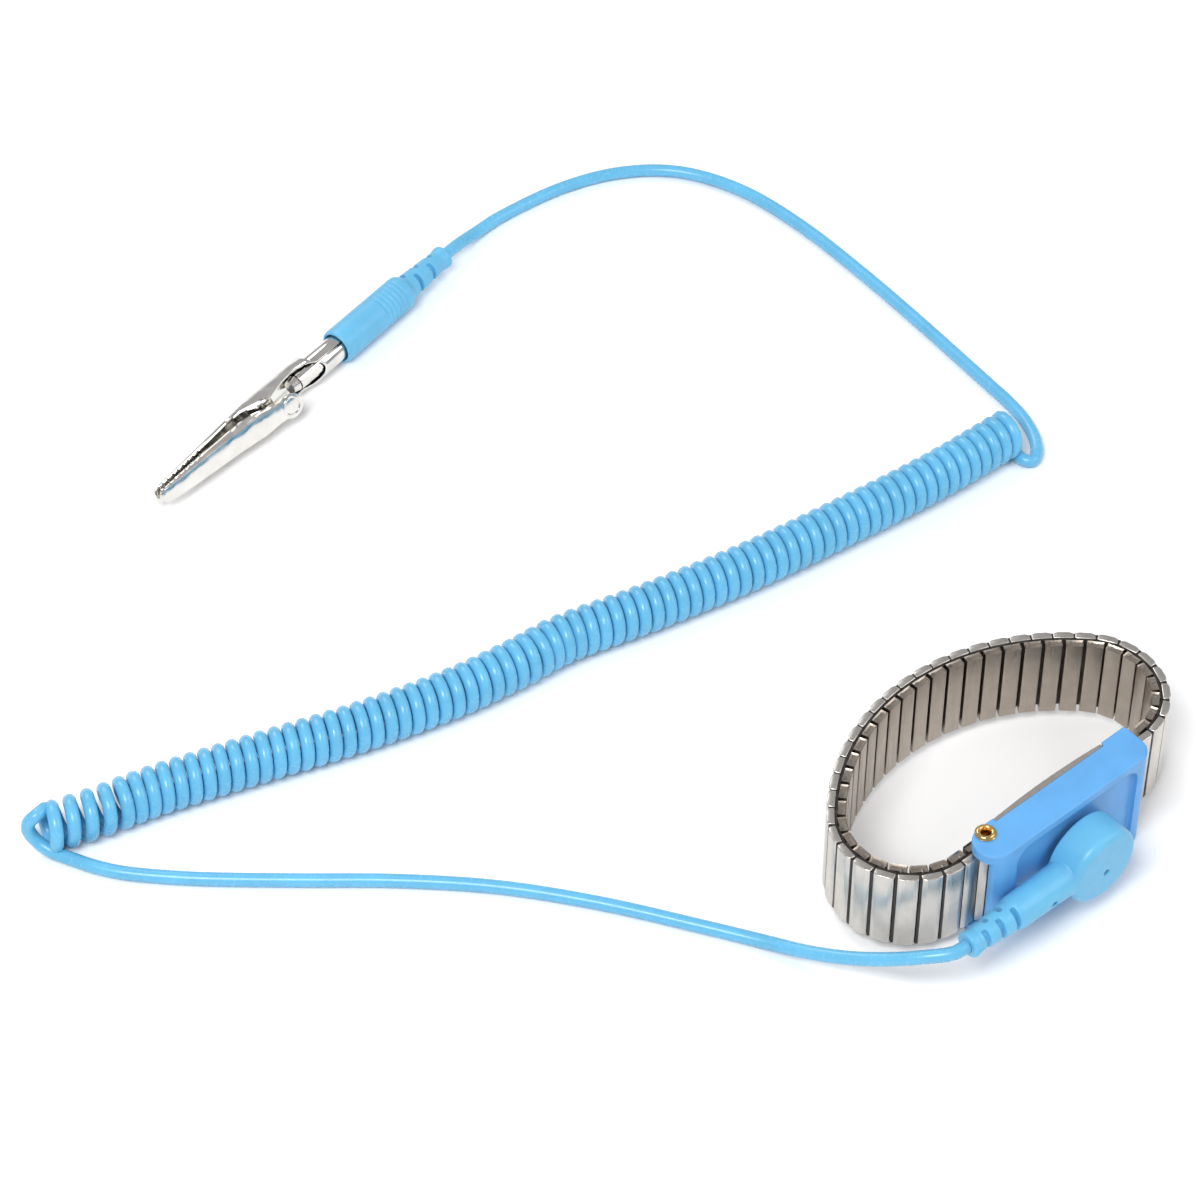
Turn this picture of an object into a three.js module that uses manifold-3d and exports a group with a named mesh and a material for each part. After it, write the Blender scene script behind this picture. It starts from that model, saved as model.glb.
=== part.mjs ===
// Anti-static wrist strap: a steel expansion band on a moulded housing, a snap-on cap with a
// curly earthing cord, and a banana plug that carries an alligator clip. Millimetres, +Z up.
// The origin is on the ground under the middle of the wristband; the housing lies along X and
// its front faces -Y. The band stands on edge, and the cord lies on the ground.
import * as THREE from "three";
import { mergeVertices } from "three/addons/utils/BufferGeometryUtils.js";
import Module from "manifold-3d";

const wasm = await Module();
wasm.setup();

// ---- driving dimensions ----------------------------------------------------------------

const FINE = 40; // sides of a large round piece
const COARSE = 24; // sides of a small round piece
const GAP = 0.3; // air between pieces that touch on the real object

// Housing: a moulded shell, open at both ends for the band and at the back for the plate.
const HOUSING_LENGTH = 39.1;
const HOUSING_DEPTH = 7.5;
const HOUSING_HEIGHT = 23;
const HOUSING_MIDDLE_X = -0.65;
const HOUSING_MIDDLE_Y = -13.65;
const HOUSING_FRONT = HOUSING_MIDDLE_Y - HOUSING_DEPTH / 2;
const HOUSING_BACK = HOUSING_MIDDLE_Y + HOUSING_DEPTH / 2;
const HOUSING_LEFT = HOUSING_MIDDLE_X - HOUSING_LENGTH / 2;
const HOUSING_RIGHT = HOUSING_MIDDLE_X + HOUSING_LENGTH / 2;
const HOUSING_WALL = 2.2;
const PANEL_RECESS = 0.6;
const PANEL_RIM = 1.8; // above and below the recessed panel
const PANEL_LEFT_RIM = 5.0;
const PANEL_RIGHT_RIM = 3.7;
const PANEL_CORNER = 3.2;
const EAR_LENGTH = 1.3; // the top and bottom walls run on past the front wall at the left end
const MID_HEIGHT = HOUSING_HEIGHT / 2;

// Pins that hold the band's two ends.
const PIN_X = 16.4;
const PIN_Y = -11.6;
const EYELET_RADIUS = 1.0;
const EYELET_BORE = 0.7;
const EYELET_HEAD_RADIUS = 1.9;
const EYELET_HEAD_HEIGHT = 0.55;
const STEEL_PIN_RADIUS = 0.8;

// Back plate: steel, touches the wrist.
const PLATE_LENGTH = 26;
const PLATE_HEIGHT = 22;
const PLATE_THICKNESS = 0.6;
const PLATE_BULGE = 0.5;

// Expansion band: two layers of shells on a flattened oval.
const LINK_COUNT = 34;
const BAND_HEIGHT = 17.4;
const BAND_THICKNESS = 3.5;
const BAND_HALF_WIDTH = 36.2;
const BAND_BACK_RADIUS = 44; // outer face, behind the wrist
const BAND_SIDE_RADIUS = 14.3; // outer face, at the wrist's two edges
const BAND_BACK_Y = 25.1; // outer face at the middle of the back
const BAND_BOTTOM = (HOUSING_HEIGHT - BAND_HEIGHT) / 2;
const FIRST_JOINT_RUN = -67.75; // the first gap between outer shells, from the middle of the back
const LAST_JOINT_RUN = 62.55;
const LINK_PITCH = (LAST_JOINT_RUN - FIRST_JOINT_RUN) / LINK_COUNT;
const OUTER_SHELL_WIDTH = 3.4;
const INNER_SHELL_WIDTH = 2.85;
const SHELL_DEPTH = 1.5;
const SHELL_CROWN = 0.35;
const LAYER_GAP = 0.5;
const STAPLE_WIDTH = 0.5;

// Snap fastener, along -Y from the housing's recessed panel.
const SNAP_X = 1;
const PANEL_Y = HOUSING_FRONT + PANEL_RECESS;
const STUD_HOLE_RADIUS = 1.8;
const STUD_SHANK_RADIUS = 1.5;

// Cap, its arm and the strain relief on it.
const CAP_RADIUS = 7.6;
const CAP_FRONT_Y = -24.5;
const CAP_BACK_Y = HOUSING_FRONT - GAP;
const CAP_EDGE = 1.3;
const SOCKET_POCKET_RADIUS = 5.3;
const SOCKET_POCKET_Y = -22.7;
const ARM_Y = -21.0;
const ARM_RADIUS = 3.2;
const ARM_END_X = -19.5;
const RELIEF_END_X = -28.9;
const RELIEF_RADIUS = 2.5;

// Earthing cord.
const CORD_RADIUS = 1.25;
const CORD_REST = 1.3;
const CORD_SIDES = 8;
const COIL_RADIUS = 4.75;
const COIL_REST = 4.8;
const COIL_SIDES = 12;

// Plug sleeve, banana plug and clip, along the plug's axis from the sleeve's mouth.
const MOUTH_X = -13.8;
const MOUTH_Y = 170.7;
const PLUG_REST = 3.8;
const PLUG_HEADING = THREE.MathUtils.degToRad(-168.3);
const SLEEVE_RADIUS = 3.6;
const SLEEVE_LENGTH = 20.7;
const SLEEVE_TAIL = 33.5;
const SLEEVE_MOUTH_DEPTH = 6;
const BARREL_RADIUS = 2.65;
const BARREL_BORE = 2.4;
const CLIP_TIP = 52;
const SHEET = 0.5; // thickness of the clip's sheet steel
const CLIP_ROLL = THREE.MathUtils.degToRad(20);
const PIVOT_U = 21.5;
const PIVOT_V = 1.0;

// ---- materials --------------------------------------------------------------------------

const finish = (color, roughness, metalness) =>
  new THREE.MeshStandardMaterial({ color, roughness, metalness });
const HOUSING_BLUE = () => finish(0x6ba8ea, 0.45, 0);
const CORD_BLUE = () => finish(0x74c2f5, 0.4, 0);
const POLISHED_STEEL = () => finish(0xc4c4c8, 0.22, 1);
const NICKEL = () => finish(0xd8d6d2, 0.2, 1);
const BRASS = () => finish(0xd9a548, 0.3, 1);
const SPRING_STEEL = () => finish(0x8f8d8a, 0.35, 1);
const RESISTOR_BODY = () => finish(0xd2b48c, 0.6, 0);

// ---- solids -----------------------------------------------------------------------------

function toSolid(geometry) {
  const bare = geometry.clone();
  bare.deleteAttribute("normal");
  bare.deleteAttribute("uv");
  const merged = mergeVertices(bare, 1e-4);
  return new wasm.Manifold(
    new wasm.Mesh({
      numProp: 3,
      vertProperties: new Float32Array(merged.attributes.position.array),
      triVerts: new Uint32Array(merged.index.array),
    }),
  );
}

function toGeometry(solid) {
  const mesh = solid.getMesh();
  const geometry = new THREE.BufferGeometry();
  geometry.setAttribute("position", new THREE.BufferAttribute(mesh.vertProperties, 3));
  geometry.setIndex(new THREE.BufferAttribute(mesh.triVerts, 1));
  geometry.computeVertexNormals();
  return geometry;
}

const joined = (...solids) => solids.reduce((sum, next) => sum.add(next));
const cut = (solid, ...tools) => tools.reduce((left, tool) => left.subtract(tool), solid);

function piece(name, shape, material) {
  const geometry = shape.isBufferGeometry ? shape : toGeometry(shape);
  const mesh = new THREE.Mesh(geometry, material);
  mesh.name = name;
  return mesh;
}

function box([x0, x1], [y0, y1], [z0, z1]) {
  const geometry = new THREE.BoxGeometry(x1 - x0, y1 - y0, z1 - z0);
  geometry.translate((x0 + x1) / 2, (y0 + y1) / 2, (z0 + z1) / 2);
  return toSolid(geometry);
}

// A plan outline, anticlockwise from above, raised from z0 to z1.
function prism(shape, z0, z1, curveSegments = 10) {
  const geometry = new THREE.ExtrudeGeometry(shape, {
    depth: z1 - z0,
    bevelEnabled: false,
    curveSegments,
  });
  geometry.translate(0, 0, z0);
  return toSolid(geometry);
}

const polygon = (points) => new THREE.Shape(points.map(([x, y]) => new THREE.Vector2(x, y)));

// A turned piece: [radius, station] pairs from the axis back to the axis, stations rising.
function turnedGeometry(profile, sides) {
  const points = profile.map(([radius, station]) => new THREE.Vector2(radius, station));
  return new THREE.LatheGeometry(points, sides);
}

// A closed ring: its profile is repeated from the start.
const ringGeometry = (profile, sides) => turnedGeometry([...profile, profile[0]], sides);

// The lathe's axis is +Y; these turn it to each of the directions in use.
const alongZ = (geometry, x, y) => toSolid(geometry.rotateX(Math.PI / 2).translate(x, y, 0));
const alongMinusX = (geometry, y, z) => toSolid(geometry.rotateZ(Math.PI / 2).translate(0, y, z));
const alongX = (geometry, y, z) => toSolid(geometry.rotateZ(-Math.PI / 2).translate(0, y, z));
const alongMinusY = (geometry, x, z) => toSolid(geometry.rotateX(Math.PI).translate(x, 0, z));

// A plain round bar between two stations, for turning or for boring.
const bar = (radius, from, to) => [
  [0, from],
  [radius, from],
  [radius, to],
  [0, to],
];

function tubeAlong(points, radius, sides, steps) {
  const route = new THREE.CatmullRomCurve3(points.map((p) => new THREE.Vector3(...p)));
  const section = new THREE.Shape();
  for (let i = 0; i < sides; i += 1) {
    const turn = (2 * Math.PI * (i + 0.5)) / sides;
    const corner = [radius * Math.cos(turn), radius * Math.sin(turn)];
    if (i === 0) section.moveTo(...corner);
    else section.lineTo(...corner);
  }
  section.closePath();
  return new THREE.ExtrudeGeometry(section, { steps, extrudePath: route, bevelEnabled: false });
}

const strap = new THREE.Group();
const put = (name, shape, material) => strap.add(piece(name, shape, material));

// ---- housing ----------------------------------------------------------------------------

function housingPlan() {
  const earRadius = HOUSING_DEPTH / 2;
  const earCentre = HOUSING_LEFT + earRadius;
  const frontCorner = 3;
  const plan = new THREE.Shape();
  plan.moveTo(earCentre, HOUSING_FRONT);
  plan.lineTo(HOUSING_RIGHT - frontCorner, HOUSING_FRONT);
  plan.absarc(
    HOUSING_RIGHT - frontCorner,
    HOUSING_FRONT + frontCorner,
    frontCorner,
    -Math.PI / 2,
    0,
    false,
  );
  plan.lineTo(HOUSING_RIGHT, HOUSING_BACK);
  plan.lineTo(earCentre, HOUSING_BACK);
  plan.absarc(earCentre, HOUSING_MIDDLE_Y, earRadius, Math.PI / 2, (3 * Math.PI) / 2, false);
  return plan;
}

// A rectangle in X and Z with rounded corners, as a slab between two depths in Y.
function roundedSlab([x0, x1], [z0, z1], corner, [y0, y1]) {
  const outline = new THREE.Shape();
  outline.moveTo(x0 + corner, z0);
  outline.lineTo(x1 - corner, z0);
  outline.absarc(x1 - corner, z0 + corner, corner, -Math.PI / 2, 0, false);
  outline.lineTo(x1, z1 - corner);
  outline.absarc(x1 - corner, z1 - corner, corner, 0, Math.PI / 2, false);
  outline.lineTo(x0 + corner, z1);
  outline.absarc(x0 + corner, z1 - corner, corner, Math.PI / 2, Math.PI, false);
  outline.lineTo(x0, z0 + corner);
  outline.absarc(x0 + corner, z0 + corner, corner, Math.PI, (3 * Math.PI) / 2, false);
  const geometry = new THREE.ExtrudeGeometry(outline, {
    depth: y1 - y0,
    bevelEnabled: false,
    curveSegments: 6,
  });
  geometry.rotateX(Math.PI / 2).translate(0, y1, 0);
  return toSolid(geometry);
}

function makeHousing() {
  const reach = 5; // how far a cutting tool stands out of what it cuts
  const body = prism(housingPlan(), 0, HOUSING_HEIGHT, 12);
  const frontWallLeft = HOUSING_LEFT + EAR_LENGTH;
  const inside = [HOUSING_WALL, HOUSING_HEIGHT - HOUSING_WALL];
  const cavity = box(
    [HOUSING_LEFT - reach, HOUSING_RIGHT + reach],
    [HOUSING_FRONT + HOUSING_WALL, HOUSING_BACK + reach],
    inside,
  );
  const endSlot = box(
    [HOUSING_LEFT - reach, frontWallLeft],
    [HOUSING_FRONT - reach, HOUSING_BACK + reach],
    inside,
  );
  const panel = roundedSlab(
    [frontWallLeft + PANEL_LEFT_RIM, HOUSING_RIGHT - PANEL_RIGHT_RIM],
    [PANEL_RIM, HOUSING_HEIGHT - PANEL_RIM],
    PANEL_CORNER,
    [HOUSING_FRONT - reach, PANEL_Y],
  );
  const plateSeat = box(
    [-PLATE_LENGTH / 2 - GAP, PLATE_LENGTH / 2 + GAP],
    [HOUSING_BACK - PLATE_THICKNESS - GAP, HOUSING_BACK + reach],
    [MID_HEIGHT - PLATE_HEIGHT / 2 - GAP, MID_HEIGHT + PLATE_HEIGHT / 2 + GAP],
  );
  const studHole = alongMinusY(
    turnedGeometry(bar(STUD_HOLE_RADIUS, 0, 30), COARSE),
    SNAP_X,
    MID_HEIGHT,
  );
  const eyeletHole = alongZ(
    turnedGeometry(bar(EYELET_RADIUS + GAP, -reach, HOUSING_HEIGHT + reach), COARSE),
    -PIN_X,
    PIN_Y,
  );
  const eyeletFoot = alongZ(
    turnedGeometry(bar(EYELET_HEAD_RADIUS + 0.1, -reach, 1.2), COARSE),
    -PIN_X,
    PIN_Y,
  );
  const steelPinHole = alongZ(
    turnedGeometry(bar(STEEL_PIN_RADIUS + GAP, 1.1, HOUSING_HEIGHT - 1.1), COARSE),
    PIN_X,
    PIN_Y,
  );
  return cut(
    body,
    cavity,
    endSlot,
    panel,
    plateSeat,
    studHole,
    eyeletHole,
    eyeletFoot,
    steelPinHole,
  );
}

put("housing", makeHousing(), HOUSING_BLUE());

// The back plate bows out a little towards the wrist.
function makeBackPlate() {
  const inner = HOUSING_BACK - PLATE_THICKNESS;
  const half = PLATE_LENGTH / 2;
  const plan = new THREE.Shape();
  plan.moveTo(-half, inner);
  plan.lineTo(half, inner);
  plan.lineTo(half, HOUSING_BACK);
  plan.quadraticCurveTo(0, HOUSING_BACK + 2 * PLATE_BULGE, -half, HOUSING_BACK);
  plan.closePath();
  return prism(plan, MID_HEIGHT - PLATE_HEIGHT / 2, MID_HEIGHT + PLATE_HEIGHT / 2, 12);
}

put("back_plate", makeBackPlate(), POLISHED_STEEL());

function makeEyelet() {
  const head = HOUSING_HEIGHT + 0.1;
  const foot = 0.4;
  return ringGeometry(
    [
      [EYELET_BORE, foot],
      [EYELET_HEAD_RADIUS, foot],
      [EYELET_HEAD_RADIUS, foot + 0.4],
      [EYELET_RADIUS, foot + 0.5],
      [EYELET_RADIUS, head],
      [EYELET_HEAD_RADIUS, head],
      [EYELET_HEAD_RADIUS - 0.3, head + EYELET_HEAD_HEIGHT],
      [EYELET_BORE, head + EYELET_HEAD_HEIGHT - 0.1],
    ],
    COARSE,
  );
}

put("brass_eyelet_pin", alongZ(makeEyelet(), -PIN_X, PIN_Y), BRASS());
put(
  "steel_end_pin",
  alongZ(turnedGeometry(bar(STEEL_PIN_RADIUS, 1.3, HOUSING_HEIGHT - 1.3), COARSE), PIN_X, PIN_Y),
  SPRING_STEEL(),
);

// ---- expansion band ---------------------------------------------------------------------

const HALF_THICKNESS = BAND_THICKNESS / 2;
const BACK_MID = BAND_BACK_RADIUS - HALF_THICKNESS;
const SIDE_MID = BAND_SIDE_RADIUS - HALF_THICKNESS;
const SIDE_CENTRE_X = BAND_HALF_WIDTH - BAND_SIDE_RADIUS;
const BACK_CENTRE_Y = BAND_BACK_Y - BAND_BACK_RADIUS;
const BACK_ANGLE = Math.asin(SIDE_CENTRE_X / (BAND_BACK_RADIUS - BAND_SIDE_RADIUS));
const SIDE_CENTRE_Y = BACK_CENTRE_Y + (BAND_BACK_RADIUS - BAND_SIDE_RADIUS) * Math.cos(BACK_ANGLE);
const BACK_RUN = BACK_MID * BACK_ANGLE;
const SIDE_RUN = SIDE_MID * (Math.PI - BACK_ANGLE);

// The band's mid-line at a run from the middle of the back, positive towards +X: a wide back
// arc, then a side arc tangent to it, then straight on into the housing's end.
function bandFrame(run) {
  const side = run < 0 ? -1 : 1;
  const distance = Math.abs(run);
  const onBack = distance <= BACK_RUN;
  const sideAngle = BACK_ANGLE + Math.min(distance - BACK_RUN, SIDE_RUN) / SIDE_MID;
  const angle = onBack ? distance / BACK_MID : sideAngle;
  const radius = onBack ? BACK_MID : SIDE_MID;
  const centreX = onBack ? 0 : side * SIDE_CENTRE_X;
  const centreY = onBack ? BACK_CENTRE_Y : SIDE_CENTRE_Y;
  const straight = Math.max(distance - BACK_RUN - SIDE_RUN, 0);
  return {
    x: centreX + side * (radius * Math.sin(angle) - straight),
    y: centreY + radius * Math.cos(angle),
    heading: -side * angle,
  };
}

// A shell's section along the band (t) and outwards (n), raised to the band's height.
function shellAt(run, width, inner, outer, crown) {
  const half = width / 2;
  const section = polygon([
    [-half, inner],
    [half, inner],
    [half, outer - crown],
    [half / 2, outer],
    [-half / 2, outer],
    [-half, outer - crown],
  ]);
  const geometry = new THREE.ExtrudeGeometry(section, { depth: BAND_HEIGHT, bevelEnabled: false });
  const place = bandFrame(run);
  geometry.rotateZ(place.heading).translate(place.x, place.y, BAND_BOTTOM);
  return toSolid(geometry);
}

const outerShell = (run) =>
  shellAt(run, OUTER_SHELL_WIDTH, LAYER_GAP / 2, LAYER_GAP / 2 + SHELL_DEPTH, SHELL_CROWN);

// The inner shells face the wrist, so their flat side is turned inwards.
function innerShell(run) {
  const half = INNER_SHELL_WIDTH / 2;
  const section = polygon([
    [-half, -LAYER_GAP / 2 - SHELL_DEPTH],
    [half, -LAYER_GAP / 2 - SHELL_DEPTH],
    [half, -LAYER_GAP / 2],
    [-half, -LAYER_GAP / 2],
  ]);
  const geometry = new THREE.ExtrudeGeometry(section, { depth: BAND_HEIGHT, bevelEnabled: false });
  const place = bandFrame(run);
  geometry.rotateZ(place.heading).translate(place.x, place.y, BAND_BOTTOM);
  return toSolid(geometry);
}

// A staple bridges the two layers near the edge where they overlap.
function stapleAt(run) {
  const inset = 1.2;
  const geometry = new THREE.BoxGeometry(
    STAPLE_WIDTH,
    LAYER_GAP + SHELL_DEPTH,
    BAND_HEIGHT - 2 * inset,
  );
  const place = bandFrame(run);
  geometry.rotateZ(place.heading).translate(place.x, place.y, BAND_BOTTOM + BAND_HEIGHT / 2);
  return toSolid(geometry);
}

function makeLink(index) {
  const start = FIRST_JOINT_RUN + index * LINK_PITCH;
  const end = start + LINK_PITCH;
  return joined(
    outerShell((start + end) / 2),
    innerShell(end),
    stapleAt(end - INNER_SHELL_WIDTH / 4),
  );
}

for (let index = 0; index < LINK_COUNT; index += 1) {
  const number = String(index + 1).padStart(2, "0");
  put(`band_link_${number}`, makeLink(index), POLISHED_STEEL());
}

// An end bracket: the last outer shell and the loop that turns on the housing's pin.
function pinLoop(side, pinRadius) {
  const top = BAND_BOTTOM + BAND_HEIGHT - 0.4;
  const bottom = BAND_BOTTOM + 0.4;
  const bore = pinRadius + GAP;
  return alongZ(turnedGeometry(bar(bore + 0.5, bottom, top), COARSE), side * PIN_X, PIN_Y);
}

function pinBore(side, pinRadius) {
  const tool = bar(pinRadius + GAP, 0, HOUSING_HEIGHT);
  return alongZ(turnedGeometry(tool, COARSE), side * PIN_X, PIN_Y);
}

function makeLeftBracket() {
  const shell = outerShell(FIRST_JOINT_RUN - LINK_PITCH / 2);
  const staple = stapleAt(FIRST_JOINT_RUN - INNER_SHELL_WIDTH / 4);
  const solid = joined(
    shell,
    innerShell(FIRST_JOINT_RUN),
    staple,
    pinLoop(-1, EYELET_RADIUS),
  );
  return cut(solid, pinBore(-1, EYELET_RADIUS));
}

function makeRightBracket() {
  const middle = LAST_JOINT_RUN + LINK_PITCH / 2;
  const armTop = BAND_BOTTOM + BAND_HEIGHT - 1.5;
  const arm = box([PIN_X + 0.8, HOUSING_RIGHT + 2.6], [-12.6, -11.9], [BAND_BOTTOM + 1.5, armTop]);
  const solid = joined(outerShell(middle), arm, pinLoop(1, STEEL_PIN_RADIUS));
  return cut(solid, pinBore(1, STEEL_PIN_RADIUS));
}

put("end_bracket_left", makeLeftBracket(), POLISHED_STEEL());
put("end_bracket_right", makeRightBracket(), POLISHED_STEEL());

// ---- snap fastener ----------------------------------------------------------------------

// Stations run along -Y, so a station is minus the y of its face.
const station = (y) => -y;

function makeStud() {
  const seat = station(PANEL_Y) + 0.2;
  return turnedGeometry(
    [
      [0, seat - 2.6],
      [STUD_SHANK_RADIUS, seat - 2.6],
      [STUD_SHANK_RADIUS, seat],
      [3.8, seat],
      [3.8, seat + 0.5],
      [1.7, seat + 0.7],
      [1.6, seat + 2.0],
      [2.0, seat + 2.9],
      [1.7, seat + 3.7],
      [0, seat + 3.9],
    ],
    COARSE,
  );
}

put("snap_stud", alongMinusY(makeStud(), SNAP_X, MID_HEIGHT), NICKEL());

function makeStudRivet() {
  const seat = station(PANEL_Y) - HOUSING_WALL + PANEL_RECESS - 0.2;
  return ringGeometry(
    [
      [STUD_SHANK_RADIUS + 0.15, seat - 0.7],
      [3.2, seat - 0.7],
      [3.2, seat - 0.2],
      [STUD_SHANK_RADIUS + 0.15, seat],
    ],
    COARSE,
  );
}

put("stud_rivet", alongMinusY(makeStudRivet(), SNAP_X, MID_HEIGHT), NICKEL());

const SOCKET_BACK = station(CAP_BACK_Y) + 0.55;
const SOCKET_FRONT = station(SOCKET_POCKET_Y) - 0.25;

function makeSocket() {
  return turnedGeometry(
    [
      [0, SOCKET_FRONT - 0.5],
      [3.3, SOCKET_FRONT - 0.5],
      [3.3, SOCKET_BACK + 0.5],
      [2.5, SOCKET_BACK + 0.5],
      [2.5, SOCKET_BACK],
      [5.0, SOCKET_BACK],
      [5.0, SOCKET_FRONT - 0.6],
      [4.4, SOCKET_FRONT],
      [0, SOCKET_FRONT],
    ],
    FINE,
  );
}

put("snap_socket", alongMinusY(makeSocket(), SNAP_X, MID_HEIGHT), NICKEL());

function makeSnapSpring() {
  const middle = SOCKET_BACK + 1.5;
  return ringGeometry(
    [
      [2.25, middle - 0.35],
      [2.9, middle - 0.35],
      [2.9, middle + 0.35],
      [2.25, middle + 0.35],
    ],
    COARSE,
  );
}

put("snap_spring", alongMinusY(makeSnapSpring(), SNAP_X, MID_HEIGHT), SPRING_STEEL());

// ---- cap, arm and strain relief -----------------------------------------------------------

function makeCap() {
  const disc = turnedGeometry(
    [
      [0, station(CAP_BACK_Y)],
      [CAP_RADIUS, station(CAP_BACK_Y)],
      [CAP_RADIUS, station(CAP_FRONT_Y) - CAP_EDGE],
      [CAP_RADIUS - 0.4 * CAP_EDGE, station(CAP_FRONT_Y) - 0.35 * CAP_EDGE],
      [CAP_RADIUS - CAP_EDGE, station(CAP_FRONT_Y)],
      [0, station(CAP_FRONT_Y)],
    ],
    FINE,
  );
  const arm = turnedGeometry(
    [
      [0, 0],
      [ARM_RADIUS, 0],
      [ARM_RADIUS, -ARM_END_X],
      [RELIEF_RADIUS + 0.3, -ARM_END_X + 0.6],
      [RELIEF_RADIUS, -RELIEF_END_X - 1.8],
      [RELIEF_RADIUS, -RELIEF_END_X],
      [0, -RELIEF_END_X],
    ],
    COARSE,
  );
  const pocket = turnedGeometry(
    bar(SOCKET_POCKET_RADIUS, station(CAP_BACK_Y) - 5, station(SOCKET_POCKET_Y)),
    FINE,
  );
  const resistorBore = turnedGeometry(bar(1.6, 0, 15.6), COARSE);
  return cut(
    joined(alongMinusY(disc, SNAP_X, MID_HEIGHT), alongMinusX(arm, ARM_Y, MID_HEIGHT)),
    alongMinusY(pocket, SNAP_X, MID_HEIGHT),
    alongMinusX(resistorBore, ARM_Y, MID_HEIGHT),
  );
}

put("snap_cap", makeCap(), CORD_BLUE());

// One-megohm resistor in the arm, with a lead at each end.
function makeResistor() {
  const lead = 0.3;
  return turnedGeometry(
    [
      [0, 4.6],
      [lead, 4.6],
      [lead, 7],
      [1.0, 7.2],
      [1.25, 7.8],
      [1.05, 8.6],
      [1.05, 11.4],
      [1.25, 12.2],
      [1.0, 12.8],
      [lead, 13],
      [lead, 15.2],
      [0, 15.2],
    ],
    16,
  );
}

put("safety_resistor", alongMinusX(makeResistor(), ARM_Y, MID_HEIGHT), RESISTOR_BODY());

// ---- earthing cord ------------------------------------------------------------------------

// From the strain relief down to the ground, and round to the coil's near end.
const NEAR_ROUTE = [
  [RELIEF_END_X - GAP, ARM_Y, MID_HEIGHT],
  [-32.0, -20.4, 11.4],
  [-35.5, -17.3, 10.4],
  [-39.0, -12.6, 8.2],
  [-42.2, -6.6, 5.4],
  [-45.4, 0.4, 3.0],
  [-49.0, 8.2, 1.6],
  [-54.5, 17.5, CORD_REST],
  [-64.5, 33.0, CORD_REST],
  [-75.5, 47.3, CORD_REST],
  [-88.0, 60.0, CORD_REST],
  [-101.0, 71.4, CORD_REST],
  [-113.5, 82.6, CORD_REST],
  [-122.4, 91.4, CORD_REST],
  [-129.0, 99.4, CORD_REST],
  [-132.6, 104.4, 1.6],
  [-133.6, 108.6, 2.8],
  [-132.2, 110.3, 4.2],
  [-130.3, 108.4, COIL_REST],
];

const COIL_ROUTE = [
  [-129.0, 107.1, COIL_REST],
  [-119.5, 104.4, COIL_REST],
  [-109.0, 101.8, COIL_REST],
  [-91.0, 96.0, COIL_REST],
  [-73.0, 90.0, COIL_REST],
  [-55.0, 85.3, COIL_REST],
  [-41.0, 83.2, COIL_REST],
  [-30.5, 82.2, COIL_REST],
  [-14.0, 78.0, COIL_REST],
  [7.0, 73.6, COIL_REST],
  [29.0, 70.4, COIL_REST],
  [50.0, 68.0, COIL_REST],
  [69.0, 67.1, COIL_REST],
];

const SLEEVE_TAIL_X = MOUTH_X - SLEEVE_TAIL * Math.cos(PLUG_HEADING);
const SLEEVE_TAIL_Y = MOUTH_Y - SLEEVE_TAIL * Math.sin(PLUG_HEADING);

// From the coil's far end, round the back, to the plug's strain relief.
const FAR_ROUTE = [
  [70.1, 66.2, COIL_REST],
  [71.0, 62.6, 3.6],
  [72.0, 61.4, 2.2],
  [73.6, 63.6, 1.4],
  [75.2, 67.4, CORD_REST],
  [76.4, 72.4, CORD_REST],
  [77.3, 78.4, CORD_REST],
  [78.4, 88.0, CORD_REST],
  [79.8, 104.0, CORD_REST],
  [80.9, 122.0, CORD_REST],
  [81.2, 139.5, CORD_REST],
  [79.3, 155.2, CORD_REST],
  [73.6, 167.6, CORD_REST],
  [64.2, 175.5, CORD_REST],
  [52.0, 179.8, CORD_REST],
  [38.0, 181.2, CORD_REST],
  [30.0, 180.4, 1.8],
  [24.4, 179.0, 3.0],
  [SLEEVE_TAIL_X + 0.3, SLEEVE_TAIL_Y + 0.06, PLUG_REST],
];

put("cord_tail_near", tubeAlong(NEAR_ROUTE, CORD_RADIUS, CORD_SIDES, 34), CORD_BLUE());
put("cord_coil", tubeAlong(COIL_ROUTE, COIL_RADIUS, COIL_SIDES, 18), CORD_BLUE());
put("cord_tail_far", tubeAlong(FAR_ROUTE, CORD_RADIUS, CORD_SIDES, 36), CORD_BLUE());

// ---- plug and clip ------------------------------------------------------------------------

// In this group +X runs from the sleeve's mouth to the clip's tip and +Y to the jaw that opens.
const plug = new THREE.Group();
plug.position.set(MOUTH_X, MOUTH_Y, PLUG_REST);
plug.rotation.z = PLUG_HEADING;
strap.add(plug);

// The clip has turned a little on the plug, so its opening jaw leans upwards.
const clip = new THREE.Group();
clip.rotation.x = CLIP_ROLL;
plug.add(clip);

const putOnPlug = (name, shape, material) => plug.add(piece(name, shape, material));
const putOnClip = (name, shape, material) => clip.add(piece(name, shape, material));
const onAxis = (profile, sides) => alongX(turnedGeometry(profile, sides), 0, 0);
const ringOnAxis = (profile, sides) => alongX(ringGeometry(profile, sides), 0, 0);

const PLUG_BASE = -12;
const PLUG_CORE_RADIUS = 1.4;
const PLUG_TIP = 14;

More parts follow.
